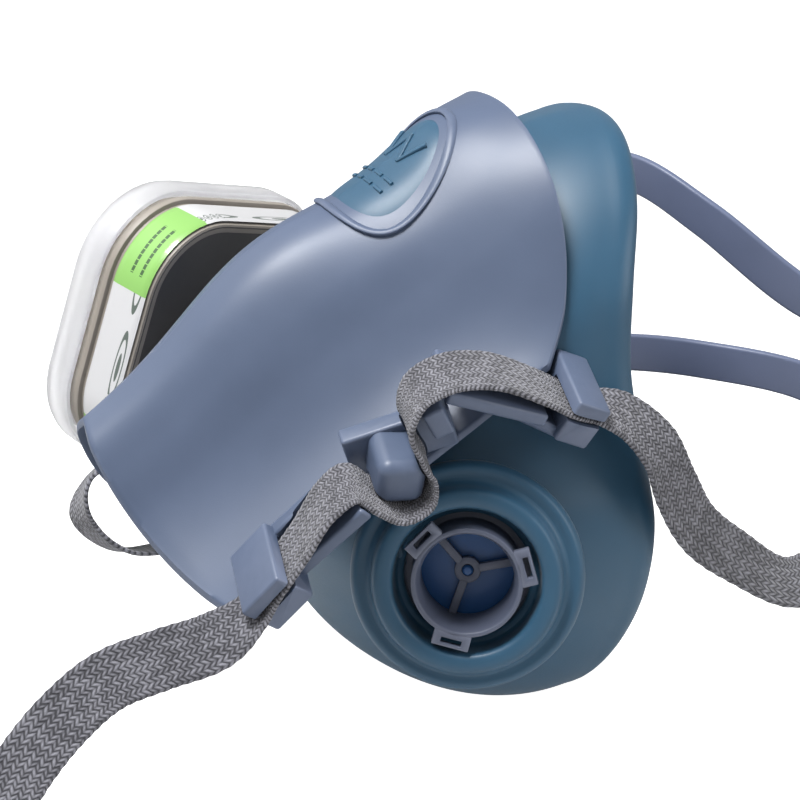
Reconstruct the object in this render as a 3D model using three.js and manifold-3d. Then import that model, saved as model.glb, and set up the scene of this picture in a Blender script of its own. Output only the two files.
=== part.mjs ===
// A reusable half-face respirator: a silicone facepiece under a saddle-shaped nose shell, two bayonet
// ports, one filter cartridge, three valves, and a drop-down head harness of elastic webbing.
// Millimetres. +Z is up, -Y is ahead of the wearer, +X is the wearer's left, where the port is free.
import * as THREE from 'three';
import { mergeVertices } from 'three/addons/utils/BufferGeometryUtils.js';
import Module from 'manifold-3d';

const wasm = await Module();
wasm.setup();

// ---------- driving dimensions ----------
const WALL = 2.8;              // silicone wall
const SHELL_WALL = 2.2;        // nose shell wall
const SHELL_LENGTH = 126;      // along the ridge
const GAP = 0.4;               // left between faces that touch
const FLAP_DEPTH = 13;         // inward turn of the face seal
const FRONT_RADIUS = 17;       // outside of the exhalation neck
const WEB_WIDTH = 14;
const WEB_THICK = 1.4;
const BAYONET = { bore: 11.2, tube: 13.2, flange: 17, lug: 16.2 };
const BAR_RADIUS = 1.3;        // round bars that webbing is looped on

const SILICONE = new THREE.MeshStandardMaterial({ color: 0x3f6580, roughness: 0.55 });
const SHELL = new THREE.MeshStandardMaterial({ color: 0x66738c, roughness: 0.5 });
const HARD = new THREE.MeshStandardMaterial({ color: 0x6f7487, roughness: 0.45 });
const FLAP = new THREE.MeshStandardMaterial({ color: 0x2b66b0, roughness: 0.3 });
const WEBBING = new THREE.MeshStandardMaterial({ color: 0x8b8888, roughness: 0.95 });
const CASE = new THREE.MeshStandardMaterial({ color: 0x8f877c, roughness: 0.5 });
const CLEAR = new THREE.MeshStandardMaterial({ color: 0xe4e4ec, roughness: 0.2 });
const PAPER = new THREE.MeshStandardMaterial({ color: 0x86c46a, roughness: 0.4 });
const FELT = new THREE.MeshStandardMaterial({ color: 0xf0f0f0, roughness: 1 });
const CARBON = new THREE.MeshStandardMaterial({ color: 0x1c1c1c, roughness: 1 });

const V = (x, y, z) => new THREE.Vector3(x, y, z);
const mix = (a, b, t) => a + (b - a) * t;

// Ridge frame of the nose shell: s runs down the ridge, h stands off it, x is across.
const RIDGE_TOP = V(0, -16, 82);
const RIDGE_ALONG = V(0, -0.845, -0.534).normalize();
const RIDGE_OUT = V(0, -0.534, 0.845).normalize();

// Port frames, mirrored left to right: out points away from the cheek.
const PORT_CENTRE = V(56, -45.8, -16.9);
const port = (side) => {
  const out = V(0.89 * side, -0.42, 0.18).normalize();
  const up = V(0, 0, 1).addScaledVector(out, -out.z).normalize();
  return { centre: V(PORT_CENTRE.x * side, PORT_CENTRE.y, PORT_CENTRE.z), out, up };
};
const NEAR = port(1);
const FAR = port(-1);

// ---------- solids ----------
/** A closed body from points and triangles, turned so that its faces point out. */
function body(points, triangles) {
  let volume = 0;
  for (let i = 0; i < triangles.length; i += 3) {
    const [a, b, c] = [0, 1, 2].map((k) => points[triangles[i + k]]);
    volume += a.dot(V(0, 0, 0).crossVectors(b, c));
  }
  const index = volume > 0 ? triangles : triangles.slice().reverse();
  const geometry = new THREE.BufferGeometry().setFromPoints(points);
  geometry.setIndex(index);
  return geometry;
}

/** Joins closed rings of equal size into a tube: looped when the last ring meets the first, else capped. */
function rings(list, looped = false) {
  const n = list[0].length;
  const points = list.flat();
  const triangles = [];
  const last = looped ? list.length : list.length - 1;
  for (let i = 0; i < last; i++) {
    const next = (i + 1) % list.length;
    for (let j = 0; j < n; j++) {
      const k = (j + 1) % n;
      triangles.push(i * n + j, i * n + k, next * n + k, i * n + j, next * n + k, next * n + j);
    }
  }
  if (!looped) {
    for (let j = 1; j < n - 1; j++) {
      triangles.push(0, j + 1, j);
      const end = (list.length - 1) * n;
      triangles.push(end, end + j, end + j + 1);
    }
  }
  return body(points, triangles);
}

/** A manifold from a closed geometry. */
function solid(geometry) {
  const bare = geometry.clone();
  ['normal', 'uv', 'color'].forEach((name) => bare.deleteAttribute(name));
  const merged = mergeVertices(bare, 1e-4);
  const position = merged.attributes.position;
  const points = Array.from({ length: position.count }, (_, i) => V(0, 0, 0).fromBufferAttribute(position, i));
  const outward = body(points, Array.from(merged.index.array));
  return new wasm.Manifold(new wasm.Mesh({
    numProp: 3,
    vertProperties: new Float32Array(outward.attributes.position.array),
    triVerts: new Uint32Array(outward.index.array),
  }));
}

/** The geometry of a manifold, with only its largest piece kept. */
function geometryOf(manifold) {
  const largest = manifold.decompose().sort((a, b) => b.volume() - a.volume())[0];
  const mesh = largest.getMesh();
  const geometry = new THREE.BufferGeometry();
  geometry.setAttribute('position', new THREE.BufferAttribute(new Float32Array(mesh.vertProperties), 3));
  geometry.setIndex(new THREE.BufferAttribute(new Uint32Array(mesh.triVerts), 1));
  return geometry;
}

/** Places a geometry made along +Z into a frame whose axes are across, up and out. */
function place(geometry, frame) {
  const across = V(0, 0, 0).crossVectors(frame.up, frame.out);
  const basis = new THREE.Matrix4().makeBasis(across, frame.up, frame.out);
  basis.setPosition(frame.centre);
  return geometry.clone().applyMatrix4(basis);
}

/** A ring or disc turned about +Z from a closed profile of [radius, height] pairs. */
function turned(profile, segments = 24) {
  const outline = [...profile, profile[0]].map(([r, z]) => new THREE.Vector2(r, z));
  const lathe = new THREE.LatheGeometry(outline, segments);
  return lathe.rotateX(Math.PI / 2);
}

const box = (x, y, z) => new THREE.BoxGeometry(x, y, z);

// ---------- facepiece ----------
const RIM = new THREE.CatmullRomCurve3([
  V(0, 14, 80), V(19, 11.5, 76.5), V(34, 7, 65), V(44, 1.5, 47), V(47.5, 0, 26), V(52, 2, 6), V(55.5, 4, -12),
  V(52.5, 4, -31), V(43.5, 3, -49), V(30, 2, -64), V(14, 1, -73), V(0, 1, -76),
  V(-14, 1, -73), V(-30, 2, -64), V(-43.5, 3, -49), V(-52.5, 4, -31), V(-55.5, 4, -12), V(-52, 2, 6),
  V(-47.5, 0, 26), V(-44, 1.5, 47), V(-34, 7, 65), V(-19, 11.5, 76.5),
], true, 'centripetal');
const NECK = V(0, -86, -3);

/** Outside of the facepiece: turn runs round the face from the nose, t from the rim (0) to the neck (1). */
function facePoint(turn, t) {
  const angle = 2 * Math.PI * turn;
  const rim = RIM.getPoint(turn);
  const neck = NECK.clone().addScaledVector(RIDGE_OUT, FRONT_RADIUS * Math.cos(angle));
  neck.x += FRONT_RADIUS * Math.sin(angle);
  const top = Math.max(0, Math.cos(angle));
  const chin = Math.max(0, -Math.cos(angle));
  const side = Math.abs(Math.sin(angle));
  const tuck = 2 * top * side;
  const below = (turn > 0.5 ? 1 - turn : turn) * 360 - 104;
  const cheek = Math.sign(Math.sin(angle)) * Math.exp(-((below / 26) ** 2));
  const first = rim.clone().add(V(2 * Math.sin(angle) + 5 * cheek, -26 - 6 * top, 4 * top - 12 * chin - 8 * tuck));
  const second = neck.clone().add(V((27 - 6 * tuck) * Math.sin(angle) + 14 * cheek, 18 * top + 14 * side + 6 * chin,
    28 * top - 40 * chin - 20 * tuck));
  const u = 1 - t;
  return rim.multiplyScalar(u ** 3).addScaledVector(first, 3 * u * u * t)
    .addScaledVector(second, 3 * u * t * t).addScaledVector(neck, t ** 3);
}

/** Outward normal of the facepiece at a point of its outside. */
function faceNormal(turn, t) {
  const step = 1e-3;
  const round = facePoint(turn + step, t).sub(facePoint(turn - step, t));
  const along = facePoint(turn, Math.min(1, t + step)).sub(facePoint(turn, Math.max(0, t - step)));
  const normal = V(0, 0, 0).crossVectors(round, along).normalize();
  const outward = facePoint(turn, t).sub(V(0, -40, 0));
  return normal.dot(outward) < 0 ? normal.negate() : normal;
}

/** The cup: its outside, the face seal turned in at the rim, and its inside. */
function facepieceCup() {
  const list = [];
  const around = 36;
  const along = 7;
  for (let i = 0; i < around; i++) {
    const turn = i / around;
    const section = [];
    for (let k = 0; k <= along; k++) section.push(facePoint(turn, 1 - k / along));
    const rim = RIM.getPoint(turn);
    const inward = V(-rim.x, 0, 4 - rim.z).normalize();
    section.push(rim.clone().add(V(0, 1.6, 0)).addScaledVector(inward, 1.2));
    section.push(rim.clone().add(V(0, -4.4, 0)).addScaledVector(inward, FLAP_DEPTH));
    section.push(rim.clone().add(V(0, -6.2, 0)).addScaledVector(inward, FLAP_DEPTH));
    section.push(rim.clone().add(V(0, -1.6, 0)).addScaledVector(inward, WALL + 1));
    for (let k = 1; k <= along; k++) {
      const t = k / along;
      section.push(facePoint(turn, t).addScaledVector(faceNormal(turn, t), -WALL));
    }
    list.push(section);
  }
  return solid(rings(list, true));
}

// Stepped silicone collar round each port, and the bore through it.
const COLLAR = [[15, -11], [15, 3.4], [16.5, 4.6], [20.6, 5], [22, 4.2], [22.6, 1.4], [26, 0.4], [26.6, -3.5],
  [20, -11]];

// ---------- nose shell ----------
// Half profiles at three stations down the ridge, as pairs of across and off the ridge.
const STATIONS = [
  { s: 0, half: [[0, 0], [13, -0.6], [25, -4.6], [35, -12], [41.5, -22], [45.5, -32], [48, -40]] },
  { s: 60, half: [[0, 0], [10, -2], [18, -8], [25, -18], [33, -27], [43, -34], [51.5, -38]] },
  { s: 127, half: [[0, 0], [7, -3.5], [13, -12], [19, -22], [28, -30.5], [38, -36.5], [47, -40]] },
];
const [NOSE_STATION, MIDDLE_STATION, FRONT_STATION] = STATIONS.map(({ s }) => s);
// Swells along the ridge: over the nose, and the longer one over the front.
const SWELLS = [{ s: 13, long: 17, wide: 20, high: 6 }, { s: 68, long: 33, wide: 22, high: 9.3 }];

/** A point of the shell's outside: across runs from -1 to 1, along from the nose (0) to the front (1). */
function shellPoint(across, along) {
  const q = Math.abs(across);
  const back = -2 + 34 * q ** 2.2;
  const front = SHELL_LENGTH + 5 * Math.sin(Math.PI * q);
  const s = mix(back, front, along);
  const profiles = STATIONS.map(({ half }) => {
    const curve = new THREE.CatmullRomCurve3(half.map(([x, h]) => V(x, h, 0)), false, 'centripetal');
    return curve.getPoint(q);
  });
  const upper = s < MIDDLE_STATION;
  const [from, to] = upper ? profiles.slice(0, 2) : profiles.slice(1);
  const share = upper
    ? (s - NOSE_STATION) / (MIDDLE_STATION - NOSE_STATION)
    : (s - MIDDLE_STATION) / (FRONT_STATION - MIDDLE_STATION);
  const blend = THREE.MathUtils.clamp(share, -0.1, 1.1);
  const eased = blend <= 0 || blend >= 1 ? blend : blend * blend * (3 - 2 * blend) * 0.5 + blend * 0.5;
  const section = from.clone().lerp(to, eased);
  const bump = SWELLS.reduce((sum, { s: middle, long, wide, high }) => (
    sum + high * Math.exp(-(((s - middle) / long) ** 2) - (section.x / wide) ** 2)), 0);
  return RIDGE_TOP.clone().addScaledVector(RIDGE_ALONG, s).addScaledVector(RIDGE_OUT, section.y + bump)
    .add(V(Math.sign(across) * section.x, 0, 0));
}

/** Outward normal of the shell at a point of its outside. */
function shellNormal(across, along) {
  const step = 2e-3;
  const wide = shellPoint(across + step, along).sub(shellPoint(across - step, along));
  const long = shellPoint(across, along + step).sub(shellPoint(across, along - step));
  const normal = V(0, 0, 0).crossVectors(wide, long).normalize();
  return normal.dot(RIDGE_OUT) < 0 ? normal.negate() : normal;
}

/** The saddle as a slab between two offsets of its outside. */
function saddle(outer, inner, wide = 18, long = 12) {
  const list = [];
  for (let i = 0; i <= wide; i++) {
    const across = mix(-0.999, 0.999, i / wide);
    const section = [];
    for (let j = 0; j <= long; j++) {
      const along = j / long;
      section.push(shellPoint(across, along).addScaledVector(shellNormal(across, along), outer));
    }
    for (let j = long; j >= 0; j--) {
      const along = j / long;
      section.push(shellPoint(across, along).addScaledVector(shellNormal(across, along), -inner));
    }
    list.push(section);
  }
  const n = 2 * (long + 1);
  const points = list.flat();
  const triangles = [];
  for (let i = 0; i < wide; i++) {
    for (let j = 0; j < n; j++) {
      const k = (j + 1) % n;
      triangles.push(i * n + j, i * n + k, (i + 1) * n + k, i * n + j, (i + 1) * n + k, (i + 1) * n + j);
    }
  }
  [0, wide].forEach((i) => {
    for (let j = 0; j < long; j++) {
      const [a, b, c, d] = [i * n + j, i * n + j + 1, i * n + n - 2 - j, i * n + n - 1 - j];
      triangles.push(...(i === 0 ? [a, c, b, a, d, c] : [a, b, c, a, c, d]));
    }
  });
  return solid(body(points, triangles));
}

/** Egg-shaped prism through the ridge, for the nose window and for the pad that fills it. */
function eggPrism(shrink, low, high) {
  const shape = new THREE.Shape();
  const [head, tail, half] = [11 + shrink, 47 - shrink, 17 - shrink];
  shape.moveTo(0, head);
  shape.bezierCurveTo(half * 0.75, head, half, mix(head, tail, 0.45), half, mix(head, tail, 0.7));
  shape.bezierCurveTo(half, tail - 1, half * 0.6, tail, 0, tail);
  shape.bezierCurveTo(-half * 0.6, tail, -half, tail - 1, -half, mix(head, tail, 0.7));
  shape.bezierCurveTo(-half, mix(head, tail, 0.45), -half * 0.75, head, 0, head);
  const prism = new THREE.ExtrudeGeometry(shape, { depth: high - low, bevelEnabled: false, curveSegments: 8 });
  prism.translate(0, 0, low);
  const basis = new THREE.Matrix4().makeBasis(V(1, 0, 0), RIDGE_ALONG, RIDGE_OUT);
  basis.setPosition(RIDGE_TOP);
  prism.applyMatrix4(basis);
  return solid(prism);
}

// ---------- webbing ----------
/** A flat strap through points, each with the way its width runs. */
function webbing(route, width = WEB_WIDTH, thick = WEB_THICK, steps = 3) {
  const mid = new THREE.CatmullRomCurve3(route.map(([p]) => p), false, 'centripetal');
  const wide = new THREE.CatmullRomCurve3(route.map(([, w]) => w), false, 'centripetal');
  const list = [];
  const total = (route.length - 1) * steps;
  for (let i = 0; i <= total; i++) {
    const t = i / total;
    const point = mid.getPoint(t);
    const along = mid.getPoint(Math.min(1, t + 1e-3)).sub(mid.getPoint(Math.max(0, t - 1e-3))).normalize();
    const across = wide.getPoint(t);
    across.addScaledVector(along, -across.dot(along)).normalize().multiplyScalar(width / 2);
    const face = V(0, 0, 0).crossVectors(along, across).normalize().multiplyScalar(thick / 2);
    list.push([[1, 1], [1, -1], [-1, -1], [-1, 1]].map(([a, f]) => point.clone()
      .addScaledVector(across, a).addScaledVector(face, f)));
  }
  return rings(list);
}

// The guides hold the webbing's width along this direction, square to the cheek.
const STAND = V(0.92, -0.15, -0.33).normalize();
const mirrored = (v) => V(-v.x, v.y, v.z);

// The webbing's way: through the upper guide, over the shelf, round the post and out of the lower guide.
const GUIDED = [
  V(57, -15.2, 22.7), V(57, -21, 24.8), V(57, -28.4, 29), V(57, -41, 34.6), V(57, -52, 35.4), V(57, -59.4, 32),
  V(57, -61.8, 25.7), V(57, -59, 18.6), V(57, -56.4, 12.6), V(57, -58, 7.4), V(57, -63.8, 5.2),
  V(57, -69.6, 8.2), V(57, -75.4, 12.2), V(57, -81.4, 8.8), V(56, -87.4, -0.4), V(55, -93, -8.6),
  V(54, -97.6, -16),
];
// Hinge line of the crown cradle, through the bars that both straps loop on.
const BAR_NEAR = V(18, 112, -44);
const BAR_FAR = V(-98, 24, -30);
const CRADLE_AXIS = BAR_NEAR.clone().sub(BAR_FAR).normalize();

/** Where a strap arrives at a bar along a direction, goes round it and doubles back to its slider. */
function loopRound(bar, arrive, across) {
  const along = arrive.clone().addScaledVector(across, -arrive.dot(across)).normalize();
  const face = V(0, 0, 0).crossVectors(along, across).normalize();
  const reach = BAR_RADIUS + GAP + WEB_THICK / 2;
  const at = (a, f) => [bar.clone().addScaledVector(along, a).addScaledVector(face, f), across];
  const bend = [-90, -45, 0, 45, 90].map((degrees) => {
    const angle = THREE.MathUtils.degToRad(degrees);
    return at(reach * Math.cos(angle), -reach * Math.sin(angle));
  });
  const lead = [-26, -14, -5].map((a) => at(a, reach));
  const tail = [-5, -14, -24].map((a) => at(a, -reach));
  return { along, face, points: [...lead, ...bend, ...tail] };
}

const SLIDER_DISTANCE = 17;
const NEAR_LOOP = loopRound(BAR_NEAR, V(-0.45, 0.88, -0.05), CRADLE_AXIS);
const FAR_LOOP = loopRound(BAR_FAR, V(-0.35, 0.45, -0.82), CRADLE_AXIS);
const HOOK_BAR = V(73, -171, -82);
const HOOK_ACROSS = V(0.86, 0.42, 0).normalize();
const HOOK_LOOP = loopRound(HOOK_BAR, V(0, 0, -1), HOOK_ACROSS);
const CATCH_BAR = V(-62, -8, -66);
const CATCH_ACROSS = V(1, 0, 0);
const CATCH_LOOP = loopRound(CATCH_BAR, V(0, 0.8, -0.6), CATCH_ACROSS);

const WEB_NEAR = [
  ...HOOK_LOOP.points.slice().reverse(),
  [V(71, -163, -46), V(0.7, 0.35, -0.6)], [V(67, -155, -37.4), V(0.62, 0.15, -0.75)],
  [V(63, -145, -29.8), V(0.58, 0, -0.8)], [V(59, -134, -25), V(0.52, -0.15, -0.83)],
  [V(57, -121, -23.2), V(0.5, -0.2, -0.84)], [V(55, -108, -22), V(0.65, -0.2, -0.72)],
  ...GUIDED.slice().reverse().map((p) => [p, STAND]),
  [V(59, -6.5, 19.4), V(0.75, -0.3, -0.6)], [V(61.5, 1.5, 11), V(0.45, -0.75, -0.48)],
  [V(61.5, 6.5, 0), V(0.3, -0.93, -0.2)], [V(58.5, 15, -13), V(0.35, -0.85, -0.4)],
  [V(52.5, 31, -26.5), V(0.45, -0.62, -0.62)], [V(45, 52, -40.5), V(0.68, -0.3, -0.66)],
  [V(35, 73, -44), V(0.85, 0.25, -0.45)], ...NEAR_LOOP.points,
];
const WEB_FAR = [
  ...CATCH_LOOP.points.slice().reverse(),
  [V(-60, -46, -48), V(1, 0, 0)], [V(-56, -64, -47), V(1, 0, 0.1)], [V(-51, -84, -46), V(1, 0.1, 0.2)],
  [V(-50, -103, -44.5), V(0.95, 0.15, 0.3)],
  [V(-51, -113, -34), V(0.9, 0.2, 0.35)], [V(-52, -110.5, -23), V(0.9, -0.1, 0.4)],
  [V(-53, -103, -19), V(0.92, 0.1, 0.36)],
  ...GUIDED.slice().reverse().map((p) => [mirrored(p), mirrored(STAND).negate()]),
  [V(-59, -6, 19), V(0.85, 0.2, 0.5)], [V(-66, 4, 12), V(0.75, 0.4, 0.5)],
  [V(-77, 8, 5), V(0.75, 0.55, 0.1)], ...FAR_LOOP.points,
];

// ---------- parts that guide the webbing ----------
/** A box centred on a point, with its length along one way and its depth along STAND. */
function guideBlock(centre, along, length, height, depth, side, grown) {
  const stand = side > 0 ? STAND.clone() : mirrored(STAND);
  const run = V(along.x * side, along.y, along.z);
  run.addScaledVector(stand, -run.dot(stand)).normalize();
  const rise = V(0, 0, 0).crossVectors(stand, run).normalize();
  const basis = new THREE.Matrix4().makeBasis(run, rise, stand);
  basis.setPosition(V(centre.x * side, centre.y, centre.z));
  return solid(box(length + grown, height + grown, depth + grown).applyMatrix4(basis));
}

/** The post that the webbing doubles round, standing along STAND. */
function post(centre, radius, depth, side, grown) {
  const stand = side > 0 ? STAND.clone() : mirrored(STAND);
  const turn = new THREE.Quaternion().setFromUnitVectors(V(0, 1, 0), stand);
  const cylinder = new THREE.CylinderGeometry(radius + grown / 2, radius + grown / 2, depth + grown, 16);
  cylinder.applyQuaternion(turn).translate(centre.x * side, centre.y, centre.z);
  return solid(cylinder);
}

/** Everything on one side of the shell that leads the webbing. */
function strapGuides(side, grown = 0) {
  const blocks = [
    guideBlock(V(53.5, -18.5, 23.6), V(0, 1, -0.45), 9, 12, 21, side, grown),  // upper guide
    guideBlock(V(54, -40, 29.4), V(0, 1, -0.35), 26, 3.4, 17, side, grown),    // shelf above the post
    guideBlock(V(54, -54.5, 28), V(0, 0.5, -1), 8, 5, 17, side, grown),        // shelf's turned-down end
    guideBlock(V(53, -30, 24), V(0, 1, -0.6), 20, 3, 15, side, grown),         // shelf's run to the guide
    guideBlock(V(53, -80.5, 1.8), V(0, 1, 1.25), 24, 3.6, 16, side, grown),    // lower fin
    guideBlock(V(51.5, -93, -10), V(0, -1, -1.45), 13, 11, 19, side, grown),   // lower guide
    post(V(53, -63, 14), 6.4, 17, side, grown),                                // post between them
    guideBlock(V(48, -60, 18), V(0, 1, 0.4), 26, 12, 5, side, grown),          // web from the post to the shell
    guideBlock(V(47.5, -84, 0), V(0, 1, 1.25), 30, 9, 4, side, grown),         // web from the fin to the shell
  ];
  return wasm.Manifold.union(blocks);
}

// ---------- bayonet ports ----------
const TURNS = [0, 1, 2].map((k) => (k * 2 * Math.PI) / 3);
const LUG_TURN = 0.28;         // where the first lug stands

/** The twist-lock ring with three lugs, and the spokes and hub that carry its valve flap. */
function bayonet(frame, grown = 0) {
  const { bore, tube, flange, lug } = BAYONET;
  const root = bore + 0.4;
  const ring = solid(turned([[bore, -9], [bore, 5.4], [tube + grown, 5.4], [tube + grown, -6 + grown],
    [flange + grown, -6 + grown], [flange + grown, -9 - grown], [bore, -9 - grown]]));
  const lugs = TURNS.map((turn) => solid(box(lug - root + grown, 9, 2)
    .translate((lug + root + grown) / 2, 0, 4.4).rotateZ(turn + LUG_TURN)));
  const spokes = TURNS.map((turn) => solid(box(10, 2, 2).translate(6.8, 0, -8).rotateZ(turn + 0.2)));
  const hub = solid(turned([[1.4, -9], [1.4, -7], [3.2, -7], [3.2, -9]], 16));
  return solid(place(geometryOf(wasm.Manifold.union([ring, hub, ...lugs, ...spokes])), frame));
}

/** A thin flap with a stem through the hub behind it. */
const flapProfile = (radius, stemEnd) => [[0, -9.5], [0, stemEnd + 1], [0.9, stemEnd + 1], [0.9, -9.5],
  [radius * 0.5, -9.6], [radius, -9.9], [radius, -10.6], [radius * 0.5, -10.4], [0, -10.4]];
const inhalationFlap = (frame) => place(turned(flapProfile(10.6, -7), 28), frame);

// ---------- exhalation valve ----------
const FRONT = { centre: NECK.clone(), out: RIDGE_ALONG.clone(), up: RIDGE_OUT.clone() };

/** The exhalation valve's seat, clipped into the neck. */
function valveSeat(grown = 0) {
  const ring = solid(turned([[10.6, -7], [10.6, 2.6], [15.5, 2.6], [15.5, 0.8 - grown], [12.6 + grown, 0.8 - grown],
    [12.6 + grown, -5 + grown], [15.4 + grown, -5 + grown], [15.4 + grown, -7 - grown], [10.6, -7 - grown]]));
  const spokes = TURNS.map((turn) => solid(box(10, 2, 2).translate(6.2, 0, -1).rotateZ(turn)));
  const hub = solid(turned([[1.4, -2], [1.4, 0], [3.2, 0], [3.2, -2]], 16));
  return solid(place(geometryOf(wasm.Manifold.union([ring, hub, ...spokes])), FRONT));
}
const exhalationFlap = () => place(turned([[0, -2.6], [0, 3.8], [8, 3.9], [14, 3.4], [14, 2.9], [8, 3.1],
  [0.9, 3.1], [0.9, -2.6]], 28), FRONT);

// ---------- cartridge ----------
const CARTRIDGE_TILT = THREE.MathUtils.degToRad(14);
const CARTRIDGE = { ahead: -2, up: 10, length: 87, height: 76, corner: 23, taper: 4, base: 30 };

/** Rounded outline of the cartridge, grown outwards, centred off the port. */
function cartridgeOutline(grown) {
  const [a, b] = [CARTRIDGE.length / 2 + grown, CARTRIDGE.height / 2 + grown];
  const r = CARTRIDGE.corner + grown;
  const outline = new THREE.Shape();
  outline.absarc(a - r, b - r, r, 0, Math.PI / 2);
  outline.absarc(-a + r + CARTRIDGE.taper, b - r, r, Math.PI / 2, Math.PI);
  outline.absarc(-a + r, -b + r, r, Math.PI, 1.5 * Math.PI);
  outline.absarc(a - r, -b + r, r, 1.5 * Math.PI, 2 * Math.PI);
  return outline;
}

/** A slab of the cartridge's outline from one height to another above the port. */
function slab(grown, low, high) {
  const settings = { depth: high - low, bevelEnabled: false, curveSegments: 5 };
  const plate = new THREE.ExtrudeGeometry(cartridgeOutline(grown), settings);
  plate.rotateZ(CARTRIDGE_TILT).translate(CARTRIDGE.ahead, CARTRIDGE.up, low);
  return solid(place(plate, FAR));
}
const farRing = (profile, segments) => solid(place(turned(profile, segments), FAR));

// Heights of the cartridge's layers above its base.
const LAYERS = { floor: 2, label: [2.5, 14], flange: [16, 18], rim: 22, felt: [22.5, 27], cap: [18.6, 29.4] };
const SOCKET = { bore: 17, outer: 19.4, flange: 24, start: 7.4 };

/** The socket that goes over the port, with the flange that carries the case. */
function cartridgeSocket() {
  const top = CARTRIDGE.base - GAP;
  const { bore, outer, flange, start } = SOCKET;
  return farRing([[bore, start], [bore, top], [flange, top], [flange, top - 2], [outer, top - 2], [outer, start]]);
}

/** The case: a tray with a flange round it, open towards the felt, with a hole over the socket. */
function cartridgeCase() {
  const { base } = CARTRIDGE;
  const outside = slab(0, base, base + LAYERS.rim).add(slab(1.6, base + LAYERS.flange[0], base + LAYERS.flange[1]));
  const hole = farRing([[0, base - 1], [0, base + 3], [SOCKET.bore, base + 3], [SOCKET.bore, base - 1]]);
  return outside.subtract(slab(-1.8, base + LAYERS.floor, base + LAYERS.rim + 1)).subtract(hole);
}

/** A layer of the cartridge, between two heights above its base. */
const layer = (grown, [low, high]) => slab(grown, CARTRIDGE.base + low, CARTRIDGE.base + high);
const labelBand = () => layer(0.9, LAYERS.label).subtract(layer(GAP, [LAYERS.label[0] - 1, LAYERS.label[1] + 1]));
const carbonBed = () => layer(-2.2, [3.8, 20.4]);
const screen = (rise) => layer(-2.2, [rise, rise + 0.8]);
const dustFilter = () => layer(-0.4, LAYERS.felt);

/** The retainer: a cap that snaps over the case's flange, with a wide opening over the felt. */
function retainer() {
  const [low, high] = LAYERS.cap;
  const [, felt] = LAYERS.felt;
  return layer(3.4, [low, high]).subtract(layer(2, [low - 1, LAYERS.rim + 0.3]))
    .subtract(layer(GAP, [LAYERS.rim, felt + GAP])).subtract(layer(-11, [felt, high + 1]));
}
const portGasket = () => farRing([[17.2, 5.4], [17.2, 7], [20, 7], [20, 5.4]]);

// ---------- harness hardware ----------
const END_THICK = 2.6;         // plates of the looped ends
/** Frame of a looped end: along the strap, along the bar, and off the strap's face. */
function loopFrame(bar, loop, across) {
  return new THREE.Matrix4().makeBasis(loop.along, across, loop.face.clone()).setPosition(bar);
}

/** A plate with a bar and a slot, reaching a length past the bar. */
function looped(bar, loop, across, reach) {
  const frame = loopFrame(bar, loop, across);
  const half = WEB_WIDTH / 2 + 1;
  const at = (geometry, x, y) => solid(orient(geometry.translate(x, y, 0), frame));
  const rod = new THREE.CylinderGeometry(BAR_RADIUS, BAR_RADIUS, 2 * half + 3, 14);
  const cheek = { long: 9.5, wide: 2.4, middle: 4.2 };
  const slotEnd = 6;
  return wasm.Manifold.union([
    at(rod, 0, 0),
    at(box(cheek.long, cheek.wide, END_THICK), cheek.middle, half + cheek.wide / 2),
    at(box(cheek.long, cheek.wide, END_THICK), cheek.middle, -half - cheek.wide / 2),
    at(box(reach, 2 * (half + cheek.wide), END_THICK), slotEnd + reach / 2, 0),
  ]);
}

/** A copy of a geometry moved into a frame. */
const orient = (geometry, frame) => geometry.clone().applyMatrix4(frame);

/** A strap slider: a block with a slot for each run of the webbing. */
function slider(bar, loop, across) {
  const frame = loopFrame(bar, loop, across);
  const half = WEB_WIDTH / 2 + 0.8;
  const outer = box(9, 2 * half + 4, 9.6).translate(-SLIDER_DISTANCE, 0, 0);
  const upper = box(12, 2 * half, 2.3).translate(-SLIDER_DISTANCE, 0, 2.4);
  const lower = box(12, 2 * half, 2.3).translate(-SLIDER_DISTANCE, 0, -2.4);
  return solid(orient(outer, frame)).subtract(solid(orient(upper, frame))).subtract(solid(orient(lower, frame)));
}

/** Both arms of the crown cradle, from one looped end to the other. */
function crownCradle() {
  const nearEnd = BAR_NEAR.clone().addScaledVector(NEAR_LOOP.along, 8);
  const farEnd = BAR_FAR.clone().addScaledVector(FAR_LOOP.along, 8);
  const arm = (points) => solid(webbing(points, 11, 2.4, 3));
  const upper = [
    [nearEnd, CRADLE_AXIS], [V(20, 122, -12), V(0.7, 0.3, 0.5)], [V(14, 106, 8), V(0.35, 0.1, 0.9)],
    [V(0, 80, 22), V(0.1, 0.1, 1)], [V(-20, 60, 41), V(0, 0, 1)], [V(-42, 49, 50), V(0, 0, 1)],
    [V(-68, 42, 44), V(0, 0, 1)], [V(-92, 39, 18), V(-0.3, -0.2, 0.9)], [V(-104, 36, -12), V(-0.7, -0.5, 0.5)],
    [farEnd, CRADLE_AXIS.clone().negate()],
  ];
  const lower = [
    [nearEnd, CRADLE_AXIS], [V(15, 114, -26), V(0.6, 0.2, 0.7)], [V(8, 97, -12), V(0.3, 0.1, 0.95)],
    [V(0, 81.5, -3), V(0, 0, 1)], [V(-20, 61, -0.5), V(0, 0, 1)], [V(-42, 51, -4), V(0, 0, 1)],
    [V(-68, 45, -12), V(0, 0, 1)], [V(-90, 40, -24), V(-0.4, -0.3, 0.85)], [farEnd, CRADLE_AXIS.clone().negate()],
  ];
  return wasm.Manifold.union([
    looped(BAR_NEAR, NEAR_LOOP, CRADLE_AXIS, 7), looped(BAR_FAR, FAR_LOOP, CRADLE_AXIS, 7),
    arm(upper), arm(lower),
  ]);
}

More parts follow.
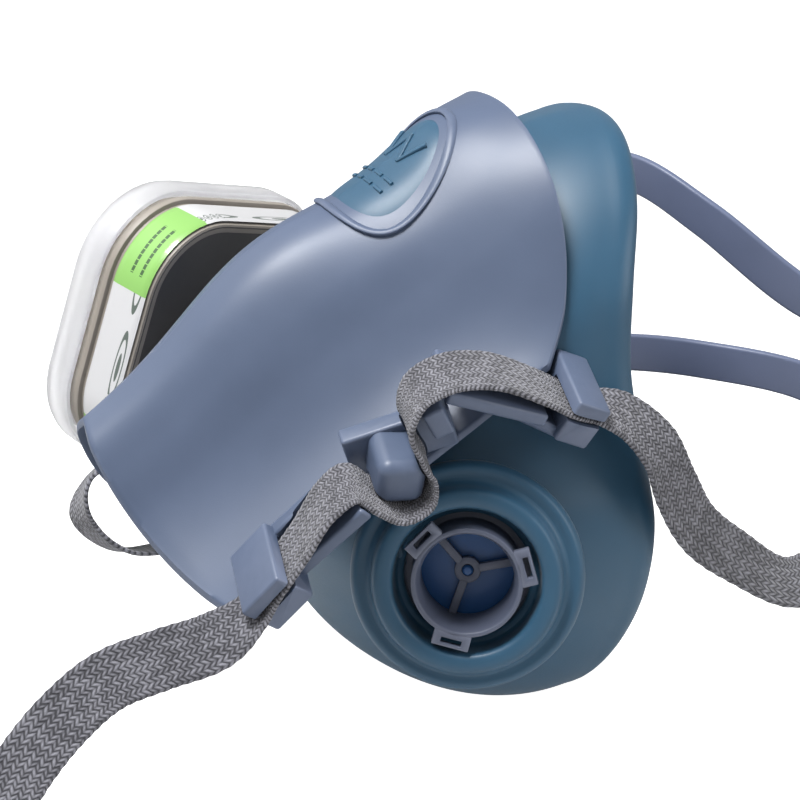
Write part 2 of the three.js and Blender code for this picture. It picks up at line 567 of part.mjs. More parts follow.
/** The hooked half of the neck clip. */
function neckHook() {
  const frame = loopFrame(HOOK_BAR, HOOK_LOOP, HOOK_ACROSS);
  const tongue = solid(orient(box(12, 8, 2).translate(18, 0, 0), frame));
  const lip = solid(orient(box(3, 7.2, 4).translate(22.2, 0, 2.3), frame));
  return wasm.Manifold.union([looped(HOOK_BAR, HOOK_LOOP, HOOK_ACROSS, 8), tongue, lip]);
}

/** The windowed half of the neck clip. */
function neckCatch() {
  const frame = loopFrame(CATCH_BAR, CATCH_LOOP, CATCH_ACROSS);
  const plate = solid(orient(box(17, 16, END_THICK).translate(20, 0, 0), frame));
  const window = solid(orient(box(8, 9.5, 6).translate(21, 0, 0), frame));
  return looped(CATCH_BAR, CATCH_LOOP, CATCH_ACROSS, 8).add(plate).subtract(window);
}

// ---------- assembly ----------
const webs = [WEB_NEAR, WEB_FAR].map((route) => solid(webbing(route)));
const webWays = [WEB_NEAR, WEB_FAR].map((route) => solid(webbing(route, WEB_WIDTH + 1.2, WEB_THICK + 1)));
const guides = [strapGuides(1), strapGuides(-1)];

const shell = wasm.Manifold.union([saddle(0, SHELL_WALL), ...guides])
  .subtract(eggPrism(0, -30, 30)).subtract(webWays[0]).subtract(webWays[1]);

const collars = [NEAR, FAR].map((frame) => solid(place(turned(COLLAR), frame)));
const pad = eggPrism(1.6, -8, 16).intersect(saddle(0.6, 5));
const bores = [NEAR, FAR].map((frame) => solid(place(turned([[0, -16], [0, 8], [15, 8], [15, -16]]), frame)));
const clearOfShell = wasm.Manifold.union([
  saddle(GAP, SHELL_WALL + GAP), strapGuides(1, 2 * GAP), strapGuides(-1, 2 * GAP),
]);
const facepiece = wasm.Manifold.union([facepieceCup().subtract(bores[0]).subtract(bores[1]), ...collars])
  .subtract(clearOfShell).subtract(bayonet(NEAR, GAP)).subtract(bayonet(FAR, GAP)).subtract(valveSeat(GAP))
  .subtract(webWays[0]).subtract(webWays[1]);

const group = new THREE.Group();

/** Adds a named mesh of a solid or a geometry. */
function add(name, shape, material) {
  const geometry = shape.isBufferGeometry ? geometryOf(solid(shape)) : geometryOf(shape);
  const mesh = new THREE.Mesh(geometry, material);
  mesh.name = name;
  group.add(mesh);
}

add('facepiece', facepiece, SILICONE);
add('nose_pad', pad, SILICONE);
add('nose_shell', shell, SHELL);
add('bayonet_near', bayonet(NEAR), HARD);
add('bayonet_far', bayonet(FAR), HARD);
add('exhalation_seat', valveSeat(), HARD);
add('webbing_near', webs[0], WEBBING);
add('webbing_far', webs[1], WEBBING);
add('exhalation_flap', exhalationFlap(), FLAP);
add('inhalation_flap_near', inhalationFlap(NEAR), FLAP);
add('inhalation_flap_far', inhalationFlap(FAR), FLAP);
add('port_gasket', portGasket(), SILICONE);
add('cartridge_socket', cartridgeSocket(), CASE);
add('cartridge_case', cartridgeCase(), CASE);
add('cartridge_label', labelBand(), PAPER);
add('inner_screen', screen(2.6), FELT);
add('carbon_bed', carbonBed(), CARBON);
add('outer_screen', screen(20.8), FELT);
add('dust_filter', dustFilter(), FELT);
add('filter_retainer', retainer(), CLEAR);
add('crown_cradle', crownCradle(), HARD);
add('slider_near', slider(BAR_NEAR, NEAR_LOOP, CRADLE_AXIS), HARD);
add('slider_far', slider(BAR_FAR, FAR_LOOP, CRADLE_AXIS), HARD);
add('neck_hook', neckHook(), HARD);
add('neck_catch', neckCatch(), HARD);

export default group;
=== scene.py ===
import logging
import math
from dataclasses import dataclass, field
from enum import Enum
from typing import Callable, Sequence

import bmesh
import bpy
from bmesh.types import BMesh
from bpy.types import Material, NodeTree, Object
from mathutils import Matrix, Vector
from mathutils.bvhtree import BVHTree


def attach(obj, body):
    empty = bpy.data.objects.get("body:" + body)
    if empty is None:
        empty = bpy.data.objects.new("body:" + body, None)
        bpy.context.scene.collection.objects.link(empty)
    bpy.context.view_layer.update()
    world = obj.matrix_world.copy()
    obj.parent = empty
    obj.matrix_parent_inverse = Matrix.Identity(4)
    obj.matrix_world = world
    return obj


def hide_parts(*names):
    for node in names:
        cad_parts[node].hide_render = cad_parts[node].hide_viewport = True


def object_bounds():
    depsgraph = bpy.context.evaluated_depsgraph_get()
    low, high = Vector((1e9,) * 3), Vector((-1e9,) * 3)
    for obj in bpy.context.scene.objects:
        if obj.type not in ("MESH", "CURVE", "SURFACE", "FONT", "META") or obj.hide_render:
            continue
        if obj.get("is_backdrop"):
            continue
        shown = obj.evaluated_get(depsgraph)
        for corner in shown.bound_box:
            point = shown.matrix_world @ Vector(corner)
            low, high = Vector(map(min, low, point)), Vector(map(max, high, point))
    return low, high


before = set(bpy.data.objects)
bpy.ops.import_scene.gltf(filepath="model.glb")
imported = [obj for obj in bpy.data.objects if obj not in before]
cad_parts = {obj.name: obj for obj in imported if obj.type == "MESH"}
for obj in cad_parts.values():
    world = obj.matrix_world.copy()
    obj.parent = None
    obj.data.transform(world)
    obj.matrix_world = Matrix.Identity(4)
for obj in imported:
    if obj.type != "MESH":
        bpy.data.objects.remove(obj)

log = logging.getLogger("half_mask")

MM = 0.001
FULL_TURN = 2 * math.pi
Point = tuple[float, float, float]
Colour = tuple[float, float, float, float]
Pair = tuple[float, float]
Route = list[tuple[Vector, Vector]]

# Where things are, in millimetres, in the frame's own axes.
RIDGE_TOP = Vector((0, -16, 82))
RIDGE_ALONG = Vector((0, -0.845, -0.534)).normalized()
RIDGE_OUT = Vector((0, -0.534, 0.845)).normalized()
FRONT_CENTRE = Vector((0, -86, -3))
STAND = Vector((0.92, -0.15, -0.33)).normalized()
BAR_NEAR = Vector((18, 112, -44))
BAR_FAR = Vector((-98, 24, -30))
CRADLE_AXIS = (BAR_NEAR - BAR_FAR).normalized()
HOOK_BAR = Vector((73, -171, -82))
CATCH_BAR = Vector((-62, -8, -66))
LUG_TURN = 0.28
BAR_RADIUS = 1.3
WEB_WIDTH = 14.0
WEB_THICK = 1.4
STRAP_GAP = 0.4
SLIDER_DISTANCE = 17.0
CASE_BASE = 30.0


class Side(Enum):
    """Which cheek a piece is on, as the sign of its X."""

    NEAR = 1
    FAR = -1


# ---------------------------------------------------------------- geometry


@dataclass(frozen=True)
class Spline:
    """A centripetal Catmull-Rom curve through points."""

    points: tuple[Vector, ...]
    closed: bool = False

    def at(self, share: float) -> Vector:
        """A point of the curve.

        Args:
            share: how far along the points, from 0 to 1.

        Returns:
            The point, in the units of the points.
        """
        count = len(self.points)
        place = (count if self.closed else count - 1) * share
        first = math.floor(place)
        weight = place - first
        if self.closed:
            ring = [self.points[(first + k) % count] for k in (-1, 0, 1, 2)]
        else:
            if first >= count - 1:
                first, weight = count - 2, 1.0
            start, end = self.points[first], self.points[first + 1]
            before = self.points[first - 1] if first > 0 else 2 * start - end
            after = self.points[first + 2] if first + 2 < count else 2 * end - start
            ring = [before, start, end, after]
        spans = [max((b - a).length, 1e-8) ** 0.5 for a, b in zip(ring, ring[1:])]
        leave = self._slope(ring[0], ring[1], ring[2], spans[0], spans[1]) * spans[1]
        arrive = self._slope(ring[1], ring[2], ring[3], spans[1], spans[2]) * spans[1]
        low, high = ring[1], ring[2]
        square, cube = weight**2, weight**3
        return (
            low
            + leave * weight
            + (3 * (high - low) - 2 * leave - arrive) * square
            + (2 * (low - high) + leave + arrive) * cube
        )

    @staticmethod
    def _slope(a: Vector, b: Vector, c: Vector, first: float, second: float) -> Vector:
        """The curve's slope at b, between a and c, for the spans on either side."""
        return (b - a) / first - (c - a) / (first + second) + (c - b) / second


@dataclass(frozen=True)
class Seat:
    """A local frame: across, up and out of a surface, at a centre."""

    centre: Vector
    across: Vector
    up: Vector
    out: Vector

    def matrix(self) -> Matrix:
        """The matrix that takes local points into the frame."""
        turned = Matrix((self.across, self.up, self.out)).transposed().to_4x4()
        return Matrix.Translation(self.centre) @ turned


def port_seat(side: Side) -> Seat:
    """The frame of a breathing port, with out pointing away from the cheek.

    Args:
        side: the cheek that the port is on.

    Returns:
        The port's frame.
    """
    out = Vector((0.89 * side.value, -0.42, 0.18)).normalized()
    up = (Vector((0, 0, 1)) - out * out.z).normalized()
    return Seat(Vector((56 * side.value, -45.8, -16.9)), up.cross(out), up, out)


def front_seat() -> Seat:
    """The frame of the exhalation valve at the front."""
    return Seat(FRONT_CENTRE.copy(), RIDGE_OUT.cross(RIDGE_ALONG), RIDGE_OUT, RIDGE_ALONG)


def mirrored(point: Vector) -> Vector:
    """A point on the other side of the middle plane."""
    return Vector((-point.x, point.y, point.z))


def draped(
    columns: int,
    rows: int,
    place: Callable[[float, float], Vector],
    cell: Pair = (1.0, 1.0),
) -> BMesh:
    """A grid laid on a surface, with a UV map that measures along it.

    Args:
        columns: cells in the first direction.
        rows: cells in the second direction.
        place: the surface point for two shares from 0 to 1.
        cell: the size of the whole grid on its UV map.

    Returns:
        The grid.
    """
    bm = bmesh.new()
    bmesh.ops.create_grid(bm, x_segments=columns, y_segments=rows, size=0.5)
    chart = bm.loops.layers.uv.new("Chart")
    for face in bm.faces:
        for loop in face.loops:
            flat = loop.vert.co
            loop[chart].uv = ((flat.x + 0.5) * cell[0], (flat.y + 0.5) * cell[1])
    for vert in bm.verts:
        vert.co = place(vert.co.x + 0.5, vert.co.y + 0.5)
    return bm


def close_seams(bm: BMesh, distance: float = 1e-3) -> BMesh:
    """Merges doubles and turns the faces outwards."""
    bmesh.ops.remove_doubles(bm, verts=bm.verts, dist=distance)
    bmesh.ops.recalc_face_normals(bm, faces=bm.faces)
    return bm


def turned(profile: Sequence[Pair], steps: int = 72) -> BMesh:
    """A ring or disc spun about Z from a closed profile.

    Args:
        profile: pairs of radius and height.
        steps: faces round the axis.

    Returns:
        The closed ring or disc.
    """
    bm = bmesh.new()
    corners = [bm.verts.new((radius, 0, height)) for radius, height in profile]
    sides = [bm.edges.new(pair) for pair in zip(corners, corners[1:] + corners[:1])]
    bmesh.ops.spin(
        bm,
        geom=corners + sides,
        cent=(0, 0, 0),
        axis=(0, 0, 1),
        angle=FULL_TURN,
        steps=steps,
        use_merge=True,
    )
    return close_seams(bm)


def block(x: float, y: float, z: float, centre: Point = (0, 0, 0)) -> BMesh:
    """A box of a size, centred on a point."""
    bm = bmesh.new()
    bmesh.ops.create_cube(bm, size=1)
    bmesh.ops.scale(bm, vec=(x, y, z), verts=bm.verts)
    bmesh.ops.translate(bm, vec=centre, verts=bm.verts)
    return bm


def prism(outline: Sequence[Pair], low: float, high: float) -> BMesh:
    """An outline drawn up from one height to another.

    Args:
        outline: the corners, in order.
        low: the height it starts at.
        high: the height it ends at.

    Returns:
        The closed prism.
    """
    bm = bmesh.new()
    bmesh.ops.create_circle(bm, cap_ends=True, segments=len(outline), radius=1)
    bm.verts.ensure_lookup_table()
    for vert, (x, y) in zip(bm.verts, outline):
        vert.co = (x, y, low)
    drawn = bmesh.ops.extrude_face_region(bm, geom=list(bm.faces))["geom"]
    raised = [part for part in drawn if isinstance(part, bmesh.types.BMVert)]
    bmesh.ops.translate(bm, vec=(0, 0, high - low), verts=raised)
    bmesh.ops.recalc_face_normals(bm, faces=bm.faces)
    return bm


def softened(bm: BMesh, width: float, segments: int = 2, angle: float = 30.0) -> BMesh:
    """Rounds a mesh's sharp edges.

    Args:
        bm: the mesh.
        width: how far the round reaches from the edge.
        segments: faces across the round.
        angle: the turn in degrees over which an edge counts as sharp.

    Returns:
        The same mesh.
    """
    limit = math.radians(angle)
    sharp = [e for e in bm.edges if e.is_manifold and e.calc_face_angle(0) > limit]
    bmesh.ops.bevel(
        bm,
        geom=sharp,
        offset=width,
        segments=segments,
        profile=0.5,
        affect="EDGES",
        material=-1,
        clamp_overlap=True,
    )
    return bm


def moved(bm: BMesh, matrix: Matrix) -> BMesh:
    """Takes a mesh through a matrix."""
    bmesh.ops.transform(bm, matrix=matrix, verts=bm.verts)
    return bm


def gathered(*parts: BMesh) -> BMesh:
    """Puts several meshes into one and frees them."""
    whole = bmesh.new()
    for part in parts:
        held = bpy.data.meshes.new("held")
        part.to_mesh(held)
        part.free()
        whole.from_mesh(held)
        bpy.data.meshes.remove(held)
    return whole


def carved(bm: BMesh, tool: BMesh, operation: str = "DIFFERENCE") -> BMesh:
    """Cuts one closed mesh with another, or joins them.

    Args:
        bm: the mesh that is kept.
        tool: the mesh that cuts or joins.
        operation: DIFFERENCE or UNION.

    Returns:
        A new mesh.
    """
    things = []
    for part in (bm, tool):
        mesh = bpy.data.meshes.new("carving")
        part.to_mesh(mesh)
        part.free()
        thing = bpy.data.objects.new("carving", mesh)
        bpy.context.scene.collection.objects.link(thing)
        things.append(thing)
    cutter = things[0].modifiers.new("cut", "BOOLEAN")
    cutter.object = things[1]
    cutter.operation = operation
    cutter.solver = "EXACT"
    graph = bpy.context.evaluated_depsgraph_get()
    made = bpy.data.meshes.new_from_object(things[0].evaluated_get(graph))
    result = bmesh.new()
    result.from_mesh(made)
    for thing in things:
        mesh = thing.data
        bpy.data.objects.remove(thing)
        bpy.data.meshes.remove(mesh)
    bpy.data.meshes.remove(made)
    return result


def swept(
    route: Sequence[tuple[Vector, Vector]],
    section: Sequence[Pair],
    steps: int,
    width: Callable[[float], float] = lambda share: 1.0,
) -> BMesh:
    """A strip drawn along a route.

    Args:
        route: points, each with the way that the strip's width runs there.
        section: the closed outline as pairs of across and off the face.
        steps: stations along the route.
        width: a factor on the width for a share of the way along.

    Returns:
        The closed strip, whose UV map runs round it by share and along it in metres.
    """
    middle = Spline(tuple(point for point, _ in route))
    ways = Spline(tuple(way for _, way in route))
    stations = []
    length = 0.0
    for i in range(steps + 1):
        share = i / steps
        point = middle.at(share)
        along = (middle.at(min(1, share + 1e-3)) - middle.at(max(0, share - 1e-3))).normalized()
        across = ways.at(share)
        across = (across - along * across.dot(along)).normalized()
        if stations:
            length += (point - stations[-1][0]).length
        stations.append((point, across, along.cross(across).normalized(), width(share)))
    count = len(section)

    def place(around: float, share: float) -> Vector:
        """The strip's surface point."""
        point, across, face, wide = stations[round(share * steps)]
        a, f = section[round(around * count) % count]
        return point + across * (a * wide) + face * f

    bm = draped(count, steps, place, (1.0, length * MM))
    bmesh.ops.remove_doubles(bm, verts=bm.verts, dist=1e-4)
    open_ends = [edge for edge in bm.edges if edge.is_boundary]
    bmesh.ops.holes_fill(bm, edges=open_ends, sides=0)
    bmesh.ops.recalc_face_normals(bm, faces=bm.faces)
    return bm


# ---------------------------------------------------------------- finishes


class Nodes:
    """A short way to write a node tree."""

    def __init__(self, tree: NodeTree) -> None:
        """Starts on an empty tree."""
        self.tree = tree
        tree.nodes.clear()

    def add(self, kind: str, inputs: dict | None = None, **settings: object):
        """Adds a node.

        Args:
            kind: the node's type name, without its prefix.
            inputs: values or sockets for its inputs, by name or number.
            settings: the node's own properties.

        Returns:
            The node.
        """
        node = self.tree.nodes.new(kind if kind.startswith("Node") else "ShaderNode" + kind)
        for name, value in settings.items():
            setattr(node, name, value)
        for key, value in (inputs or {}).items():
            if isinstance(value, bpy.types.NodeSocket):
                self.tree.links.new(value, node.inputs[key])
            else:
                node.inputs[key].default_value = value
        return node

    def math(self, operation: str, *values: object):
        """A maths node's output for values or sockets."""
        node = self.add("Math", dict(enumerate(values)), operation=operation)
        return node.outputs[0]

    def times(self, *factors: object):
        """The product of two numbers or sockets."""
        return self.math("MULTIPLY", *factors)

    def less(self, *values: object):
        """1 where the first is under the second, else 0."""
        return self.math("LESS_THAN", *values)

    def mixed(self, share: object, first: object, second: object):
        """A colour between two, by a share."""
        node = self.add("Mix", {"Factor": share, 6: first, 7: second}, data_type="RGBA")
        return node.outputs[2]


def group_tree(
    name: str, inputs: dict[str, float], outputs: dict[str, str]
) -> tuple[Nodes, object, object]:
    """Starts a node group with named sockets.

    Args:
        name: the group's name.
        inputs: its number inputs and their values.
        outputs: its outputs and their socket types.

    Returns:
        The group's nodes, its input node and its output node.
    """
    tree = bpy.data.node_groups.new(name, "ShaderNodeTree")
    nodes = Nodes(tree)
    for label, value in inputs.items():
        socket = tree.interface.new_socket(label, in_out="INPUT", socket_type="NodeSocketFloat")
        socket.default_value = value
    for label, kind in outputs.items():
        tree.interface.new_socket(label, in_out="OUTPUT", socket_type=kind)
    return nodes, nodes.add("NodeGroupInput"), nodes.add("NodeGroupOutput")


def make_grain() -> NodeTree:
    """Moulded grain: a height for bump, a slow mottle and a fine speckle."""
    nodes, given, out = group_tree(
        "moulded_grain",
        {"Scale": 2200.0, "Mottle": 60.0},
        {"Height": "NodeSocketFloat", "Mottle": "NodeSocketFloat", "Speckle": "NodeSocketFloat"},
    )
    where = nodes.add("TexCoord").outputs["Object"]
    fine = nodes.add("TexNoise", {"Vector": where, "Scale": given.outputs["Scale"], "Detail": 3.0})
    slow = nodes.add("TexNoise", {"Vector": where, "Scale": given.outputs["Mottle"], "Detail": 4.0})
    cells = nodes.add("TexVoronoi", {"Vector": where, "Scale": given.outputs["Scale"]})
    nodes.tree.links.new(nodes.math("MULTIPLY_ADD", fine.outputs["Fac"], 0.7,
                                    nodes.times(cells.outputs["Distance"], 0.3)),
                         out.inputs["Height"])
    nodes.tree.links.new(slow.outputs["Fac"], out.inputs["Mottle"])
    nodes.tree.links.new(fine.outputs["Fac"], out.inputs["Speckle"])
    return nodes.tree


def make_edge_tone() -> NodeTree:
    """A mask that is 1 along outward edges and 0 elsewhere, a little broken up."""
    nodes, given, out = group_tree(
        "edge_tone", {"Start": 0.52, "End": 0.62}, {"Mask": "NodeSocketFloat"}
    )
    where = nodes.add("TexCoord").outputs["Object"]
    bend = nodes.add("NewGeometry").outputs["Pointiness"]
    breakup = nodes.add("TexNoise", {"Vector": where, "Scale": 400.0, "Detail": 2.0}).outputs["Fac"]
    shaken = nodes.math("MULTIPLY_ADD", nodes.math("SUBTRACT", breakup, 0.5), 0.03, bend)
    mask = nodes.add(
        "MapRange",
        {"Value": shaken, "From Min": given.outputs["Start"], "From Max": given.outputs["End"]},
    )
    nodes.tree.links.new(mask.outputs["Result"], out.inputs["Mask"])
    return nodes.tree


@dataclass(frozen=True)
class Finish:
    """A surface: what it is called, the slot it fills and how to make its material."""

    name: str
    slot: str

    def material(self) -> Material:
        """The material, made once."""
        known = bpy.data.materials.get(self.name)
        if known is not None:
            return known
        made = bpy.data.materials.new(self.name)
        made.use_nodes = True
        nodes = Nodes(made.node_tree)
        shader = nodes.add("BsdfPrincipled")
        end = nodes.add("OutputMaterial")
        made.node_tree.links.new(shader.outputs["BSDF"], end.inputs["Surface"])
        self.dress(nodes, shader)
        return made

    def dress(self, nodes: Nodes, shader: object) -> None:
        """Links the finish's own nodes to the shader."""
        raise NotImplementedError


def shared(name: str, maker: Callable[[], NodeTree]) -> NodeTree:
    """A node group by name, made the first time."""
    known = bpy.data.node_groups.get(name)
    return known if known is not None else maker()


@dataclass(frozen=True)
class Moulded(Finish):
    """Moulded plastic or silicone: grain, mottle, and a paler tone along its edges."""

    colour: Colour = (0.1, 0.1, 0.1, 1)
    edge: Colour = (0.2, 0.2, 0.2, 1)
    roughness: float = 0.45
    grain: float = 2200.0
    depth: float = 0.00002
    bump: float = 0.3
    edge_mix: float = 0.5
    coat: float = 0.0
    subsurface: float = 0.0
    sheen: float = 0.0

    def dress(self, nodes: Nodes, shader: object) -> None:
        """Links grain, mottle and edge tone to the shader."""
        grain = nodes.add("Group", node_tree=shared("moulded_grain", make_grain))
        grain.inputs["Scale"].default_value = self.grain
        grain.inputs["Mottle"].default_value = 55.0
        edges = nodes.add("Group", node_tree=shared("edge_tone", make_edge_tone))
        mottle = grain.outputs["Mottle"]
        dark = tuple(c * 0.9 for c in self.colour[:3]) + (1.0,)
        light = tuple(min(1.0, c * 1.1) for c in self.colour[:3]) + (1.0,)
        ground = nodes.mixed(mottle, dark, light)
        # Mixes the set edge colour in along outward edges, where pointiness is high.
        edged_share = nodes.times(edges.outputs["Mask"], self.edge_mix)
        links = nodes.tree.links
        links.new(nodes.mixed(edged_share, ground, self.edge), shader.inputs["Base Color"])
        rough = nodes.math("MULTIPLY_ADD", mottle, 0.12, self.roughness - 0.06)
        rough = nodes.math("MULTIPLY_ADD", grain.outputs["Speckle"], 0.1, rough)
        links.new(rough, shader.inputs["Roughness"])
        bump = nodes.add(
            "Bump", {"Strength": self.bump, "Distance": self.depth, "Height": grain.outputs["Height"]}
        )
        links.new(bump.outputs["Normal"], shader.inputs["Normal"])
        shader.inputs["Coat Weight"].default_value = self.coat
        shader.inputs["Coat Roughness"].default_value = 0.25
        shader.inputs["Subsurface Weight"].default_value = self.subsurface
        shader.inputs["Subsurface Radius"].default_value = (0.002, 0.003, 0.004)
        shader.inputs["Subsurface Scale"].default_value = 1.0
        shader.inputs["Sheen Weight"].default_value = self.sheen


@dataclass(frozen=True)
class Frosted(Moulded):
    """Milky see-through plastic."""

    def dress(self, nodes: Nodes, shader: object) -> None:
        """Adds transmission to the moulded look."""
        super().dress(nodes, shader)
        shader.inputs["Transmission Weight"].default_value = 0.82
        shader.inputs["IOR"].default_value = 1.46


@dataclass(frozen=True)
class Woven(Finish):
    """Elastic webbing: slanted yarns in rows that lean to and fro, with corded edges."""

    pale: Colour = (0.23, 0.23, 0.265, 1)
    dark: Colour = (0.022, 0.022, 0.03, 1)
    rib: float = 0.00105
    row: float = 0.0011

    def dress(self, nodes: Nodes, shader: object) -> None:
        """Builds the weave from the strip's own UV map."""
        chart = nodes.add("UVMap", uv_map="Weave")
        parts = nodes.add("SeparateXYZ", {0: chart.outputs["UV"]})
        across, along = parts.outputs["X"], parts.outputs["Y"]
        rows = nodes.math("DIVIDE", across, self.row)
        lean = nodes.math("PINGPONG", rows, 1.0)
        leaned = nodes.math("MULTIPLY_ADD", lean, 0.8, nodes.math("DIVIDE", along, self.rib))
        stitch = nodes.math("FRACT", leaned)
        crown = nodes.math("SINE", nodes.times(stitch, math.pi))
        valley = nodes.math("ABSOLUTE", nodes.math("SUBTRACT", nodes.math("FRACT", rows), 0.5))
        body = nodes.math("SUBTRACT", 1.0, nodes.times(valley, 0.9))
        height = nodes.times(crown, body)
        where = nodes.add("TexCoord").outputs["Object"]
        fuzz = nodes.add("TexNoise", {"Vector": where, "Scale": 2600.0, "Detail": 3.0}).outputs["Fac"]
        cloud = nodes.add("TexNoise", {"Vector": where, "Scale": 90.0, "Detail": 2.0}).outputs["Fac"]
        yarn = nodes.add("CombineXYZ", {0: nodes.math("FLOOR", rows), 1: nodes.math("FLOOR", leaned)})
        picked = nodes.add("TexWhiteNoise", {"Vector": yarn.outputs[0]}).outputs["Value"]
        tone = nodes.math("MULTIPLY_ADD", height, 0.75, nodes.times(fuzz, 0.3))
        tone = nodes.math("MULTIPLY_ADD", nodes.math("SUBTRACT", picked, 0.5), 0.35, tone)
        tone = nodes.math("MULTIPLY_ADD", nodes.math("SUBTRACT", cloud, 0.5), 0.3, tone)
        spread = nodes.add("MapRange", {"Value": tone, "From Min": 0.3, "From Max": 0.95})
        share = spread.outputs["Result"]
        links = nodes.tree.links
        links.new(nodes.mixed(share, self.dark, self.pale), shader.inputs["Base Color"])
        rough = nodes.math("MULTIPLY_ADD", fuzz, 0.2, 0.75)
        links.new(rough, shader.inputs["Roughness"])
        total = nodes.math("MULTIPLY_ADD", fuzz, 0.35, height)
        bump = nodes.add("Bump", {"Strength": 0.9, "Distance": 0.0003, "Height": total})
        links.new(bump.outputs["Normal"], shader.inputs["Normal"])
        shader.inputs["Sheen Weight"].default_value = 0.25
        shader.inputs["Sheen Roughness"].default_value = 0.6


@dataclass(frozen=True)
class Printed(Finish):
    """A printed label band: green and white fields, ring marks and plain blocks."""

    green: Colour = (0.25, 0.5, 0.13, 1)
    white: Colour = (0.6, 0.6, 0.61, 1)
    ink: Colour = (0.02, 0.05, 0.03, 1)

    def dress(self, nodes: Nodes, shader: object) -> None:
        """Draws the fields and marks from the band's UV map in metres."""
        chart = nodes.add("UVMap", uv_map="Chart")
        parts = nodes.add("SeparateXYZ", {0: chart.outputs["UV"]})
        run, rise = parts.outputs["X"], parts.outputs["Y"]
        field = nodes.math("FRACT", nodes.math("DIVIDE", run, 0.104))
        in_white = nodes.math("GREATER_THAN", field, 0.5)
        ground = nodes.mixed(in_white, self.green, self.white)
        pitch = 0.0042
        cell = nodes.math("SUBTRACT", nodes.math("FRACT", nodes.math("DIVIDE", run, pitch)), 0.5)
        high = nodes.math("DIVIDE", nodes.math("SUBTRACT", rise, 0.0028), pitch)
        radius = nodes.math("SQRT", nodes.math("ADD", nodes.times(cell, cell),
                                               nodes.times(high, high)))
        ring = nodes.less(nodes.math("ABSOLUTE", nodes.math("SUBTRACT", radius, 0.36)), 0.05)
        dot = nodes.less(radius, 0.16)
        marks = nodes.times(nodes.math("MAXIMUM", ring, dot), in_white)
        bar_run = nodes.math("FRACT", nodes.math("DIVIDE", run, 0.0031))
        bar_rise = nodes.math("FRACT", nodes.math("DIVIDE", rise, 0.0036))
        bars = nodes.times(nodes.less(bar_run, 0.85), nodes.less(bar_rise, 0.3))
        in_green = nodes.math("SUBTRACT", 1.0, in_white)
        low = nodes.less(nodes.math("ABSOLUTE", nodes.math("SUBTRACT", rise, 0.0055)), 0.0034)
        away = nodes.less(nodes.math("ABSOLUTE", nodes.math("SUBTRACT", field, 0.22)), 0.14)
        bars = nodes.times(nodes.times(bars, low), nodes.times(in_green, away))
        inked = nodes.math("MAXIMUM", marks, bars)
        links = nodes.tree.links
        printed = nodes.mixed(nodes.times(inked, 0.85), ground, self.ink)
        links.new(printed, shader.inputs["Base Color"])
        where = nodes.add("TexCoord").outputs["Object"]
        wave = nodes.add("TexNoise", {"Vector": where, "Scale": 120.0, "Detail": 2.0}).outputs["Fac"]
        links.new(nodes.math("MULTIPLY_ADD", wave, 0.15, 0.25), shader.inputs["Roughness"])
        bump = nodes.add("Bump", {"Strength": 0.15, "Distance": 0.0004, "Height": wave})
        links.new(bump.outputs["Normal"], shader.inputs["Normal"])
        shader.inputs["Coat Weight"].default_value = 0.3


@dataclass(frozen=True)
class Pressed(Finish):
    """Pressed fibre or packed granules."""

    colour: Colour = (0.8, 0.8, 0.8, 1)
    scale: float = 900.0

    def dress(self, nodes: Nodes, shader: object) -> None:
        """Tangled fibres as colour and bump."""
        where = nodes.add("TexCoord").outputs["Object"]
        tangle = {"Vector": where, "Scale": self.scale, "Detail": 5.0, "Distortion": 2.0}
        warp = nodes.add("TexNoise", tangle)
        cell = nodes.add("TexVoronoi", {"Vector": where, "Scale": self.scale * 1.6})
        links = nodes.tree.links
        shade = tuple(c * 0.72 for c in self.colour[:3]) + (1.0,)
        links.new(nodes.mixed(warp.outputs["Fac"], shade, self.colour), shader.inputs["Base Color"])
        total = nodes.math("ADD", warp.outputs["Fac"], nodes.times(cell.outputs["Distance"], 0.5))
        bump = nodes.add("Bump", {"Strength": 0.6, "Distance": 0.0004, "Height": total})
        links.new(bump.outputs["Normal"], shader.inputs["Normal"])
        shader.inputs["Roughness"].default_value = 0.9


SILICONE = Moulded(
    "teal_silicone", "silicone", (0.02, 0.08, 0.145, 1), (0.06, 0.15, 0.24, 1),
    roughness=0.42, grain=1600.0, depth=0.000012, bump=0.25, edge_mix=0.25, coat=0.06, subsurface=0.12,
    sheen=0.08,
)
SHELL = Moulded(
    "slate_shell_plastic", "shell_plastic", (0.08, 0.108, 0.175, 1), (0.19, 0.22, 0.31, 1),
    roughness=0.4, grain=2600.0, depth=0.00003, bump=0.45, edge_mix=0.6, coat=0.03,
)
PORT = Moulded(
    "grey_port_plastic", "port_plastic", (0.095, 0.11, 0.16, 1), (0.21, 0.23, 0.3, 1),
    roughness=0.36, grain=2400.0, depth=0.00001, bump=0.2, edge_mix=0.7,
)
CRADLE = Moulded(
    "slate_cradle_plastic", "cradle_plastic", (0.115, 0.14, 0.225, 1), (0.2, 0.23, 0.34, 1),
    roughness=0.38, grain=2000.0, depth=0.00001, bump=0.2, edge_mix=0.4,
)
FLAP = Moulded(
    "blue_valve_rubber", "valve_rubber", (0.022, 0.1, 0.3, 1), (0.08, 0.22, 0.48, 1),
    roughness=0.32, grain=1500.0, depth=0.00001, bump=0.15, edge_mix=0.2, coat=0.15,
)
CASE = Moulded(
    "warm_grey_case", "case_plastic", (0.29, 0.26, 0.225, 1), (0.45, 0.42, 0.38, 1),
    roughness=0.42, grain=1800.0, depth=0.00001, bump=0.2, edge_mix=0.4,
)
CLEAR = Frosted(
    "frosted_retainer", "retainer_plastic", (0.97, 0.97, 1.0, 1), (0.7, 0.71, 0.76, 1),
    roughness=0.3, grain=1400.0, depth=0.00001, bump=0.15, edge_mix=0.7, coat=0.2,
)
